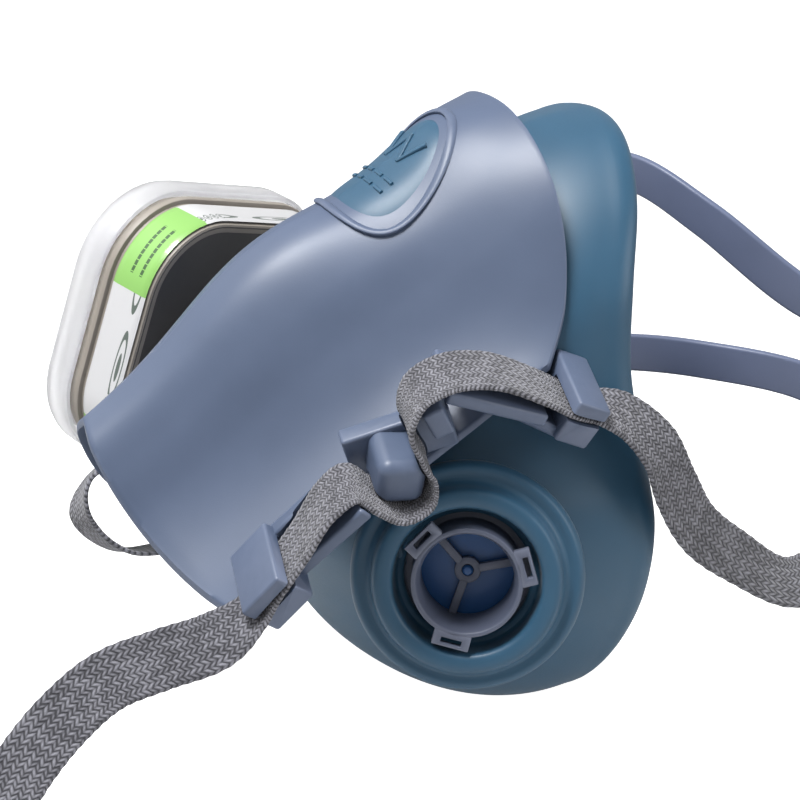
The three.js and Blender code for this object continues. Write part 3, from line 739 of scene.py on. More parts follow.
# Painted shade: the cartridge's mask-facing back is coloured near black to stand for the shadow it lies
# in; the case itself is warm grey.
CASE_BACK_SHADE = Moulded(
    "case_back_painted_shade", "case_plastic", (0.07, 0.068, 0.066, 1), (0.16, 0.155, 0.15, 1),
    roughness=0.45, grain=1800.0, depth=0.00001, bump=0.2, edge_mix=0.4,
)
WEBBING = Woven("grey_elastic_webbing", "webbing")
LABEL = Printed("printed_band", "label_paper")
FELT = Pressed("white_felt", "felt")
CARBON = Pressed("black_granules", "carbon", (0.02, 0.02, 0.02, 1), 500.0)


# ---------------------------------------------------------------- pieces


@dataclass(frozen=True)
class Workshop:
    """Turns finished meshes into pieces that ride on the frame."""

    sharp: float = 38.0

    def piece(
        self,
        name: str,
        bm: BMesh,
        body: str,
        finish: Finish,
        replaces: Sequence[str] = (),
        smoothing: int = 0,
    ) -> Object:
        """Makes a piece from a mesh in millimetres.

        Args:
            name: the piece's name.
            bm: its mesh, which is freed.
            body: the body of the frame that it moves with.
            finish: its surface.
            replaces: the frame's nodes that it stands for.
            smoothing: subdivision levels, 0 for none.

        Returns:
            The piece, at the origin, with its place in its mesh.
        """
        bmesh.ops.scale(bm, vec=(MM, MM, MM), verts=bm.verts)
        mesh = bpy.data.meshes.new(name)
        bm.to_mesh(mesh)
        bm.free()
        mesh.polygons.foreach_set("use_smooth", [True] * len(mesh.polygons))
        mesh.set_sharp_from_angle(angle=math.radians(self.sharp))
        mesh.materials.append(finish.material())
        made = bpy.data.objects.new(name, mesh)
        bpy.context.scene.collection.objects.link(made)
        if smoothing:
            subdivided = made.modifiers.new("rounding", "SUBSURF")
            subdivided.levels = smoothing
            subdivided.render_levels = smoothing
        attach(made, body)
        if replaces:
            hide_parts(*replaces)
        log.info("%s: %d faces on %s", name, len(mesh.polygons), body)
        return made


BENCH = Workshop()


@dataclass
class NoseShell:
    """The saddle-shaped shell over the nose and cheeks, with its egg window and strap guides."""

    wall: float = 2.2
    length: float = 126.0
    wide: int = 120
    long: int = 90
    lip_radius: float = 0.8
    lip_half: float = 1.3
    stations: tuple[tuple[float, tuple[Pair, ...]], ...] = (
        (0, ((0, 0), (13, -0.6), (25, -4.6), (35, -12), (41.5, -22), (45.5, -32), (48, -40))),
        (60, ((0, 0), (10, -2), (18, -8), (25, -18), (33, -27), (43, -34), (51.5, -38))),
        (127, ((0, 0), (7, -3.5), (13, -12), (19, -22), (28, -30.5), (38, -36.5), (47, -40))),
    )
    swells: tuple[tuple[float, float, float, float], ...] = ((13, 17, 20, 6), (68, 33, 22, 9.3))
    egg_head: float = 11.0
    egg_tail: float = 47.0
    egg_half: float = 17.0
    skin: BVHTree | None = field(default=None, init=False)
    _sections: dict[float, list[Vector]] = field(default_factory=dict, init=False)

    def sections(self, share: float) -> list[Vector]:
        """The three half profiles' points at a share of the way out from the ridge."""
        if share not in self._sections:
            self._sections[share] = [
                Spline(tuple(Vector((x, h, 0)) for x, h in half)).at(share)
                for _, half in self.stations
            ]
        return self._sections[share]

    def surface(self, across: float, along: float) -> Vector:
        """A point of the shell's outside.

        Args:
            across: from -1 at the far edge to 1 at the near one.
            along: from 0 at the nose to 1 at the front.

        Returns:
            The point, in millimetres.
        """
        share = min(abs(across), 1.0)
        back = -2 + 34 * share**2.2
        front = self.length + 5 * math.sin(math.pi * share)
        s = back + (front - back) * along
        first, second, third = self.sections(round(share, 6))
        if s < 60:
            low, high, part = first, second, s / 60
        else:
            low, high, part = second, third, (s - 60) / 67
        part = max(-0.1, min(1.1, part))
        if 0 < part < 1:
            part = part * part * (3 - 2 * part) * 0.5 + part * 0.5
        section = low.lerp(high, part)
        bump = sum(
            high * math.exp(-(((s - middle) / long) ** 2) - (section.x / wide) ** 2)
            for middle, long, wide, high in self.swells
        )
        point = RIDGE_TOP + RIDGE_ALONG * s + RIDGE_OUT * (section.y + bump)
        point.x += math.copysign(section.x, across)
        return point

    def egg(self, shrink: float, count: int = 72) -> list[Pair]:
        """The window's outline as pairs of across and down the ridge.

        Args:
            shrink: how far it is drawn in.
            count: how many points.

        Returns:
            The outline.
        """
        head, tail, half = self.egg_head + shrink, self.egg_tail - shrink, self.egg_half - shrink
        shoulder = head + (tail - head) * 0.45
        broad = head + (tail - head) * 0.7
        upper = [(0, head), (half * 0.75, head), (half, shoulder), (half, broad)]
        lower = [(half, broad), (half, tail - 1), (half * 0.6, tail), (0, tail)]
        side = []
        for curve in (upper, lower):
            for i in range(count // 4):
                t = i / (count // 4)
                u = 1 - t
                weights = (u**3, 3 * u * u * t, 3 * u * t * t, t**3)
                side.append(tuple(sum(w * p[k] for w, p in zip(weights, curve)) for k in (0, 1)))
        return side + [(0, tail)] + [(-x, s) for x, s in reversed(side[1:])]

    def on_skin(self, x: float, s: float, lift: float = 0.0) -> Vector:
        """A point of the shell straight under a point of the ridge's plane.

        Args:
            x: across the ridge.
            s: down the ridge.
            lift: how far above the surface.

        Returns:
            The point, in millimetres.
        """
        start = RIDGE_TOP + RIDGE_ALONG * s + RIDGE_OUT * 40 + Vector((x, 0, 0))
        hit, normal, _, _ = self.skin.ray_cast(start, -RIDGE_OUT, 120)
        if hit is None:
            hit, normal, _, _ = self.skin.find_nearest(start - RIDGE_OUT * 40)
        if normal.dot(RIDGE_OUT) < 0:
            normal = -normal
        return hit + normal * lift

    def saddle(self) -> BMesh:
        """The shell's outside as an open sheet, whose faces point out."""
        bm = draped(self.wide, self.long, lambda u, v: self.surface((2 * u - 1) * 0.999, v))
        middle = min(bm.faces, key=lambda f: (f.calc_center_median() - self.surface(0.01, 0.5)).length)
        if middle.normal.dot(RIDGE_OUT) < 0:
            bmesh.ops.reverse_faces(bm, faces=bm.faces)
        return bm

    def build(self) -> None:
        """Makes the shell, its window lip and its strap guides."""
        sheet = self.saddle()
        self.skin = BVHTree.FromBMesh(sheet)
        bmesh.ops.solidify(sheet, geom=sheet.faces, thickness=self.wall)
        bmesh.ops.recalc_face_normals(sheet, faces=sheet.faces)
        hole = prism(self.egg(0), -30, 30)
        ridge = Seat(RIDGE_TOP, Vector((1, 0, 0)), RIDGE_ALONG, RIDGE_OUT)
        shell = carved(sheet, moved(hole, ridge.matrix()))
        softened(shell, 0.45, 2, 50)
        BENCH.piece("nose_shell_skin", shell, "mask", SHELL, ["nose_shell"])
        self.window_lip()
        for side in Side:
            StrapGuides(side).build()

    def window_lip(self) -> None:
        """The raised lip round the window."""
        outline = [self.on_skin(x, s, 0.2) for x, s in self.egg(-0.9)]
        count, around = len(outline), 12

        def place(u: float, v: float) -> Vector:
            """The lip's surface point."""
            i = round(u * count) % count
            along = (outline[(i + 1) % count] - outline[i - 1]).normalized()
            _, normal, _, _ = self.skin.find_nearest(outline[i])
            side = along.cross(normal).normalized()
            turn = FULL_TURN * v
            lifted = normal * (self.lip_radius * math.sin(turn))
            return outline[i] + side * (self.lip_half * math.cos(turn)) + lifted

        bm = close_seams(draped(count, around, place))
        BENCH.piece("window_lip", bm, "mask", SHELL)


@dataclass
class StrapGuides:
    """The fins, post and slotted guides that lead a strap over one cheek."""

    side: Side

    def seat(self, centre: Point, along: Point) -> Seat:
        """The frame of a guide block, with its depth along the stand-off direction."""
        sign = self.side.value
        stand = STAND.copy() if sign > 0 else mirrored(STAND)
        run = Vector((along[0] * sign, along[1], along[2]))
        run = (run - stand * run.dot(stand)).normalized()
        middle = Vector((centre[0] * sign, centre[1], centre[2]))
        return Seat(middle, run, stand.cross(run).normalized(), stand)

    def blocks(self) -> list[BMesh]:
        """The guide's blocks with rounded edges."""
        sizes = (
            ((53.5, -18.5, 23.6), (0, 1, -0.45), (9, 12, 21)),
            ((54, -40, 29.4), (0, 1, -0.35), (26, 3.4, 17)),
            ((54, -54.5, 28), (0, 0.5, -1), (8, 5, 17)),
            ((53, -30, 24), (0, 1, -0.6), (20, 3, 15)),
            ((53, -80.5, 1.8), (0, 1, 1.25), (24, 3.6, 16)),
            ((51.5, -93, -10), (0, -1, -1.45), (13, 11, 19)),
            ((48, -60, 18), (0, 1, 0.4), (26, 12, 5)),
            ((47.5, -84, 0), (0, 1, 1.25), (30, 9, 4)),
        )
        made = []
        for centre, along, size in sizes:
            made.append(moved(softened(block(*size), 0.8, 3), self.seat(centre, along).matrix()))
        post = softened(block(11.6, 11.8, 17), 3, 6)
        made.append(moved(post, self.seat((53, -63, 14), (0, 1, 0)).matrix()))
        return made

    def build(self) -> None:
        """Makes the guides with the strap's way cut through them."""
        whole = None
        for part in self.blocks():
            whole = part if whole is None else carved(whole, part, "UNION")
        route = [(p if self.side is Side.NEAR else mirrored(p), w) for p, w in guided_route(self.side)]
        section = rounded_section(WEB_WIDTH / 2 + 0.6, WEB_THICK / 2 + 0.5, 0.3)
        whole = carved(whole, swept(route, section, 120))
        BENCH.piece(f"strap_guides_{self.side.name.lower()}", whole, "mask", SHELL)


def rounded_section(half: float, thick: float, radius: float, corner: int = 3) -> list[Pair]:
    """The outline of a strip: a rectangle with round corners.

    Args:
        half: half its width.
        thick: half its thickness.
        radius: its corners' radius.
        corner: points round each corner, less one.

    Returns:
        The outline, in order.
    """
    outline = []
    for a, f, start in ((1, 1, 0), (-1, 1, 90), (-1, -1, 180), (1, -1, 270)):
        for k in range(corner + 1):
            angle = math.radians(start + 90 * k / corner)
            outline.append((a * (half - radius) + radius * math.cos(angle),
                            f * (thick - radius) + radius * math.sin(angle)))
    return outline


GUIDED = tuple(Vector(p) for p in (
    (57, -15.2, 22.7), (57, -21, 24.8), (57, -28.4, 29), (57, -41, 34.6), (57, -52, 35.4),
    (57, -59.4, 32),
    (57, -61.8, 25.7), (57, -59, 18.6), (57, -56.4, 12.6), (57, -58, 7.4), (57, -63.8, 5.2),
    (57, -69.6, 8.2), (57, -75.4, 12.2), (57, -81.4, 8.8), (56, -87.4, -0.4), (55, -93, -8.6),
    (54, -97.6, -16),
))


def guided_route(side: Side) -> Route:
    """The strap's way through the guides, unmirrored, with a little over at each end.

    Args:
        side: the cheek.

    Returns:
        Points with the way that the strap's width runs.
    """
    way = STAND if side is Side.NEAR else -mirrored(STAND)
    points = list(reversed(GUIDED))
    before = points[0] + (points[0] - points[1])
    after = points[-1] + Vector((0.5, 8, -3))
    return [(p, way) for p in [before, *points, after]]


@dataclass
class Facepiece:
    """The silicone cup with its turned-in face seal, port collars and nose pad."""

    shell: NoseShell
    wall: float = 2.8
    flap: float = 13.0
    front_radius: float = 17.0
    around: int = 144
    along: int = 34

    def __post_init__(self) -> None:
        """Sets out the rim curve."""
        right = ((19, 11.5, 76.5), (34, 7, 65), (44, 1.5, 47), (47.5, 0, 26), (52, 2, 6), (55.5, 4, -12),
                 (52.5, 4, -31), (43.5, 3, -49), (30, 2, -64), (14, 1, -73))
        left = [(-x, y, z) for x, y, z in reversed(right)]
        points = [(0, 14, 80), *right, (0, 1, -76), *left]
        self.rim = Spline(tuple(Vector(p) for p in points), closed=True)

    def outside(self, turn: float, t: float) -> Vector:
        """A point of the cup's outside.

        Args:
            turn: the share of a turn round the face from the nose.
            t: from 0 at the rim to 1 at the front.

        Returns:
            The point, in millimetres.
        """
        angle = FULL_TURN * turn
        rim = self.rim.at(turn % 1.0)
        neck = FRONT_CENTRE + RIDGE_OUT * (self.front_radius * math.cos(angle))
        neck.x += self.front_radius * math.sin(angle)
        top, chin = max(0.0, math.cos(angle)), max(0.0, -math.cos(angle))
        side = abs(math.sin(angle))
        tuck = 2 * top * side
        wrapped = turn % 1.0
        below = (1 - wrapped if wrapped > 0.5 else wrapped) * 360 - 104
        cheek = math.copysign(1, math.sin(angle)) * math.exp(-((below / 26) ** 2))
        sine = math.sin(angle)
        first = rim + Vector((2 * sine + 5 * cheek, -26 - 6 * top, 4 * top - 12 * chin - 8 * tuck))
        second = neck + Vector((
            (27 - 6 * tuck) * sine + 14 * cheek,
            18 * top + 14 * side + 6 * chin,
            28 * top - 40 * chin - 20 * tuck,
        ))
        u = 1 - t
        return rim * u**3 + first * (3 * u * u * t) + second * (3 * u * t * t) + neck * t**3

    def normal(self, turn: float, t: float) -> Vector:
        """The cup's outward normal at a point of its outside."""
        step = 1e-3
        round_way = self.outside(turn + step, t) - self.outside(turn - step, t)
        down_way = self.outside(turn, min(1, t + step)) - self.outside(turn, max(0, t - step))
        normal = round_way.cross(down_way).normalized()
        return -normal if normal.dot(self.outside(turn, t) - Vector((0, -40, 0))) < 0 else normal

    def section(self, turn: float) -> list[Vector]:
        """The cup's wall, cut from the front to the rim and back inside.

        Args:
            turn: where round the face.

        Returns:
            The closed outline of the wall.
        """
        rim = self.rim.at(turn)
        inward = Vector((-rim.x, 0, 4 - rim.z)).normalized()
        outline = []
        for k in range(self.along + 1):
            t = 1 - k / self.along
            bead = 0.7 * math.exp(-(((t - 0.035) / 0.012) ** 2))
            outline.append(self.outside(turn, t) + self.normal(turn, t) * bead)
        curl = Spline((
            rim, rim + Vector((0, 1.5, 0)) + inward * 1.4, rim + Vector((0, 0.4, 0)) + inward * 5,
            rim + Vector((0, -4.4, 0)) + inward * self.flap,
        ))
        outline += [curl.at(k / 10) for k in range(1, 11)]
        outline.append(rim + Vector((0, -5.6, 0)) + inward * (self.flap + 0.3))
        outline.append(rim + Vector((0, -6.2, 0)) + inward * (self.flap - 1))
        outline.append(rim + Vector((0, -3, 0)) + inward * 6)
        outline.append(rim + Vector((0, -1.6, 0)) + inward * (self.wall + 1))
        for k in range(2, self.along + 1, 2):
            t = k / self.along
            outline.append(self.outside(turn, t) - self.normal(turn, t) * self.wall)
        return outline

    def tuck_under(self, bm: BMesh) -> None:
        """Draws in what would show through the shell."""
        reach = self.shell.wall + 0.45
        for vert in bm.verts:
            hit, normal, _, distance = self.shell.skin.find_nearest(vert.co, 14)
            if hit is None:
                continue
            off = vert.co - hit
            height = off.dot(normal)
            flat = (off - normal * height).length
            if flat < 0.6 and height > -reach:
                vert.co = hit - normal * reach
            elif flat < 2.5 and height > -reach:
                share = (2.5 - flat) / 1.9
                vert.co = vert.co.lerp(vert.co - normal * (height + reach), share)

    def build(self) -> None:
        """Makes the cup, its collars and its nose pad."""
        wall = [self.section(i / self.around) for i in range(self.around)]
        count = len(wall[0])
        cup = close_seams(draped(
            self.around, count,
            lambda u, v: wall[round(u * self.around) % self.around][round(v * count) % count],
        ))
        self.tuck_under(cup)
        for side in Side:
            seat = port_seat(side)
            inner = [f for f in cup.faces if self.in_bore(f.calc_center_median(), seat)]
            bmesh.ops.delete(cup, geom=inner, context="FACES")
        BENCH.piece("facepiece_cup", cup, "mask", SILICONE, ["facepiece"], smoothing=1)
        for side in Side:
            self.collar(side)
        self.nose_pad()

    @staticmethod
    def in_bore(point: Vector, seat: Seat) -> bool:
        """Whether a point of the cup lies in a port's bore."""
        off = point - seat.centre
        height = off.dot(seat.out)
        return (off - seat.out * height).length < 17.5 and -18 < height < 12

    def collar(self, side: Side) -> None:
        """The stepped ring round a port."""
        profile = [
            (15, -11), (15, -3), (15.6, -2.6), (16.7, -2.4), (17.2, -1.6), (17.4, 0.6), (17.5, 3.2),
            (17.8, 4.2), (18.5, 4.75), (20, 4.95), (21.4, 4.85), (22.2, 4.3), (22.6, 3.2),
            (22.8, 1.8), (23.3, 0.7), (24.3, 0.15), (25.4, 0.35), (26.3, 0.5), (27.2, 0.1),
            (28, -1.2), (28.4, -4), (20.5, -11), (19.4, -14.4), (18.4, -15.4), (15.6, -15.4), (15, -14.8),
        ]
        bm = moved(turned(profile, 96), port_seat(side).matrix())
        BENCH.piece(f"port_collar_{side.name.lower()}", bm, "mask", SILICONE, smoothing=1)

    def nose_pad(self) -> None:
        """The soft pad that fills the window, with plain raised bars."""
        rings = 14
        outline = self.shell.egg(1.4, 96)
        middle = 31.0
        count = len(outline)

        def place(u: float, v: float) -> Vector:
            """The pad's surface point, from its middle to its foot."""
            x, s = outline[round(u * count) % count]
            share = min(1.0, v * 1.12)
            foot = max(0.0, v * 1.12 - 1.0) / 0.12
            crown = 1.3 * (1 - share**6) - 0.5 * share - 5.0 * foot
            return self.shell.on_skin(x * share, middle + (s - middle) * share, crown)

        pad = close_seams(draped(count, rings * 2, place))
        bars = []
        for x, turn in ((-5.5, 62), (-1.8, 118), (1.8, 62), (5.5, 118)):
            bars.append(self.raised_bar(x, 24.5, 8.5, 1.3, turn))
        for x in (-7.5, -2.5, 2.5, 7.5):
            for s in (33.5, 36.8):
                bars.append(self.raised_bar(x, s, 3.4, 1.0, 0))
        BENCH.piece("window_pad", gathered(pad, *bars), "mask", SILICONE, ["nose_pad"])

    def raised_bar(self, x: float, s: float, long: float, wide: float, turn: float) -> BMesh:
        """A raised bar on the pad.

        Args:
            x: its middle across the ridge.
            s: its middle down the ridge.
            long: its length.
            wide: its width.
            turn: its angle in degrees.

        Returns:
            The bar.
        """
        way = math.radians(turn)
        points = []
        for k in range(5):
            reach = (k / 4 - 0.5) * long
            points.append((self.shell.on_skin(x + reach * math.cos(way), s + reach * math.sin(way), 1.15),
                           Vector((-math.sin(way), 0, 0)) + RIDGE_ALONG * math.cos(way)))
        return swept(points, rounded_section(wide / 2, 0.45, 0.3), 12)


@dataclass
class Bayonet:
    """A twist-lock port: a ring with slotted lugs, three spokes and the valve flap behind."""

    side: Side
    bore: float = 11.2
    tube: float = 13.2
    flange: float = 17.0
    lug: float = 16.2

    def build(self) -> None:
        """Makes the ring and the flap."""
        seat = port_seat(self.side).matrix()
        label = self.side.name.lower()
        ring = softened(turned([
            (self.bore, -9), (self.bore, 2.4), (self.bore + 0.9, 5.4), (self.tube, 5.4),
            (self.tube, -6), (self.flange, -6), (self.flange, -9),
        ], 96), 0.3, 3)
        parts = [ring]
        for k in range(3):
            turn = Matrix.Rotation(k * FULL_TURN / 3 + LUG_TURN, 4, "Z")
            root = self.tube - 0.8
            tab = block(self.lug - root, 9, 2.4, ((self.lug + root) / 2, 0, 4.2))
            lug = carved(tab, block(1.3, 5, 4, (self.lug - 1.5, 0, 4.2)))
            parts.append(moved(softened(lug, 0.3, 2), turn))
            spoke = softened(block(9.4, 2, 2, (7, 0, -8)), 0.35, 2)
            parts.append(moved(spoke, Matrix.Rotation(k * FULL_TURN / 3 + 0.2, 4, "Z")))
        parts.append(softened(turned([(1.4, -9), (1.4, -7), (3.2, -7), (3.2, -9)], 40), 0.3, 2))
        whole = moved(gathered(*parts), seat)
        BENCH.piece(f"bayonet_ring_{label}", whole, "mask", PORT, [f"bayonet_{label}"])
        flap = turned([
            (0, -9.6), (0, -6), (0.9, -6.2), (1.3, -6.8), (0.9, -7.4), (0.9, -9.4), (5.3, -9.5),
            (12, -9.6),
            (13, -9.8), (13, -10.3), (5.3, -10.4), (0, -10.4),
        ], 64)
        BENCH.piece(f"inhalation_disc_{label}", moved(flap, seat), f"inhalation_valve_{label}", FLAP,
                    [f"inhalation_flap_{label}"])


@dataclass
class ExhalationValve:
    """The front valve: a seat with spokes and its flap."""

    def build(self) -> None:
        """Makes the seat and the flap."""
        seat = front_seat().matrix()
        ring = softened(turned([
            (10.6, -7), (10.6, 2.6), (15.5, 2.6), (15.5, 0.8), (12.6, 0.8), (12.6, -5), (15.4, -5),
            (15.4, -7),
        ], 72), 0.3, 2)
        parts = [ring, softened(turned([(1.4, -2), (1.4, 0), (3.2, 0), (3.2, -2)], 36), 0.3, 2)]
        for k in range(3):
            spoke = softened(block(9, 2, 2, (6.7, 0, -1)), 0.3, 2)
            parts.append(moved(spoke, Matrix.Rotation(k * FULL_TURN / 3, 4, "Z")))
        BENCH.piece("exhalation_ring", moved(gathered(*parts), seat), "mask", PORT, ["exhalation_seat"])
        flap = turned([
            (0, -2.6), (0, 3.9), (4, 4.1), (8, 3.95), (13.6, 3.5), (14, 3.2), (14, 2.9), (8, 3.1),
            (0.9, 3.1), (0.9, -1.6), (1.3, -2.2), (0.9, -2.6),
        ], 64)
        BENCH.piece("exhalation_disc", moved(flap, seat), "exhalation_valve", FLAP, ["exhalation_flap"])


@dataclass
class Loop:
    """Where a strap goes round a bar and doubles back."""

    bar: Vector
    arrive: Vector
    across: Vector

    def __post_init__(self) -> None:
        """Works out the strap's way in and its face."""
        self.along = (self.arrive - self.across * self.arrive.dot(self.across)).normalized()
        self.face = self.along.cross(self.across).normalized()

    def at(self, along: float, off: float) -> tuple[Vector, Vector]:
        """A point by the bar, with the way that the strap's width runs."""
        return self.bar + self.along * along + self.face * off, self.across

    def points(self) -> Route:
        """The strap's way in, round the bar and back."""
        reach = BAR_RADIUS + STRAP_GAP + WEB_THICK / 2
        bend = []
        for degrees in (-90, -45, 0, 45, 90):
            angle = math.radians(degrees)
            bend.append(self.at(reach * math.cos(angle), -reach * math.sin(angle)))
        leads = [self.at(-26, reach), self.at(-14, reach), self.at(-5, reach)]
        tails = [self.at(-5, -reach), self.at(-14, -reach), self.at(-24, -reach)]
        return leads + bend + tails

    def matrix(self) -> Matrix:
        """The frame of the bar: along the strap, along the bar, off the face."""
        return Seat(self.bar, self.along, self.across, self.face).matrix()


NEAR_LOOP = Loop(BAR_NEAR, Vector((-0.45, 0.88, -0.05)), CRADLE_AXIS)
FAR_LOOP = Loop(BAR_FAR, Vector((-0.35, 0.45, -0.82)), CRADLE_AXIS)
HOOK_LOOP = Loop(HOOK_BAR, Vector((0, 0, -1)), Vector((0.86, 0.42, 0)).normalized())
CATCH_LOOP = Loop(CATCH_BAR, Vector((0, 0.8, -0.6)), Vector((1, 0, 0)))


def pairs(*given: tuple[Point, Point]) -> Route:
    """Points and width directions as vectors."""
    return [(Vector(point), Vector(way)) for point, way in given]


@dataclass
class Webbing:
    """One elastic strap, from its neck clip over the cheek to the crown cradle."""

    side: Side
    rib: float = 1.05
    pitch: float = 0.35
    scallop: float = 0.012
    probes: int = 1200

    def route(self) -> Route:
        """The strap's way from end to end."""
        if self.side is Side.NEAR:
            guided = [(p, STAND) for p in reversed(GUIDED)]
            return [
                *reversed(HOOK_LOOP.points()),
                *pairs(
                    ((71, -163, -46), (0.7, 0.35, -0.6)), ((67, -155, -37.4), (0.62, 0.15, -0.75)),
                    ((63, -145, -29.8), (0.58, 0, -0.8)), ((59, -134, -25), (0.52, -0.15, -0.83)),
                    ((57, -121, -23.2), (0.5, -0.2, -0.84)), ((55, -108, -22), (0.65, -0.2, -0.72)),
                ),
                *guided,
                *pairs(
                    ((59, -6.5, 19.4), (0.75, -0.3, -0.6)), ((61.5, 1.5, 11), (0.45, -0.75, -0.48)),
                    ((61.5, 6.5, 0), (0.3, -0.93, -0.2)), ((58.5, 15, -13), (0.35, -0.85, -0.4)),
                    ((52.5, 31, -26.5), (0.45, -0.62, -0.62)), ((45, 52, -40.5), (0.68, -0.3, -0.66)),
                    ((35, 73, -44), (0.85, 0.25, -0.45)),
                ),
                *NEAR_LOOP.points(),
            ]
        guided = [(mirrored(p), -mirrored(STAND)) for p in reversed(GUIDED)]
        return [
            *reversed(CATCH_LOOP.points()),
            *pairs(
                ((-60, -46, -48), (1, 0, 0)), ((-56, -64, -47), (1, 0, 0.1)),
                ((-51, -84, -46), (1, 0.1, 0.2)), ((-50, -103, -44.5), (0.95, 0.15, 0.3)),
                ((-51, -113, -34), (0.9, 0.2, 0.35)),
                ((-52, -110.5, -23), (0.9, -0.1, 0.4)), ((-53, -103, -19), (0.92, 0.1, 0.36)),
            ),
            *guided,
            *pairs(
                ((-59, -6, 19), (0.85, 0.2, 0.5)), ((-66, 4, 12), (0.75, 0.4, 0.5)),
                ((-77, 8, 5), (0.75, 0.55, 0.1)),
            ),
            *FAR_LOOP.points(),
        ]

    def build(self) -> None:
        """Makes the strap with its ribs, its corded edges and its weave chart."""
        route = self.route()
        half, thick = WEB_WIDTH / 2, WEB_THICK / 2
        faces = [half - 0.9, half - 2.2, half * 0.4, 0, -half * 0.4, -half + 2.2, -half + 0.9]
        section = [(half, 0.25), (half - 0.35, thick - 0.1)]
        section += [(a, thick - (0.0 if abs(a) > half - 1 else 0.22)) for a in faces]
        section += [(-half + 0.35, thick - 0.1), (-half, 0.25)]
        section += [(-half, -0.25), (-half + 0.35, -thick + 0.1)]
        section += [(a, -thick + (0.0 if abs(a) > half - 1 else 0.22)) for a in reversed(faces)]
        section += [(half - 0.35, -thick + 0.1), (half, -0.25)]
        middle = Spline(tuple(p for p, _ in route))
        places = [middle.at(i / self.probes) for i in range(self.probes + 1)]
        length = sum((b - a).length for a, b in zip(places, places[1:]))
        steps = round(length / self.pitch)
        half_waves = length / self.rib * math.pi
        bm = swept(
            route, section, steps, lambda share: 1 - self.scallop * (1 + math.cos(share * half_waves))
        )
        chart = bm.loops.layers.uv["Chart"]
        weave = bm.loops.layers.uv.new("Weave")
        count = len(section)
        for face in bm.faces:
            shares = [loop[chart].uv.x for loop in face.loops]
            for loop in face.loops:
                along = loop[chart].uv.y
                across = section[round(loop[chart].uv.x * count) % count][0]
                loop[weave].uv = (across * MM + 0.02, along)
            if max(shares) - min(shares) > 0.5 and len(face.verts) > 4:
                for loop in face.loops:
                    loop[weave].uv = (0.02, loop[chart].uv.y)
        label = self.side.name.lower()
        BENCH.piece(f"elastic_strap_{label}", bm, "mask", WEBBING, [f"webbing_{label}"])
        log.info("strap %s is %.0f mm long", label, length)


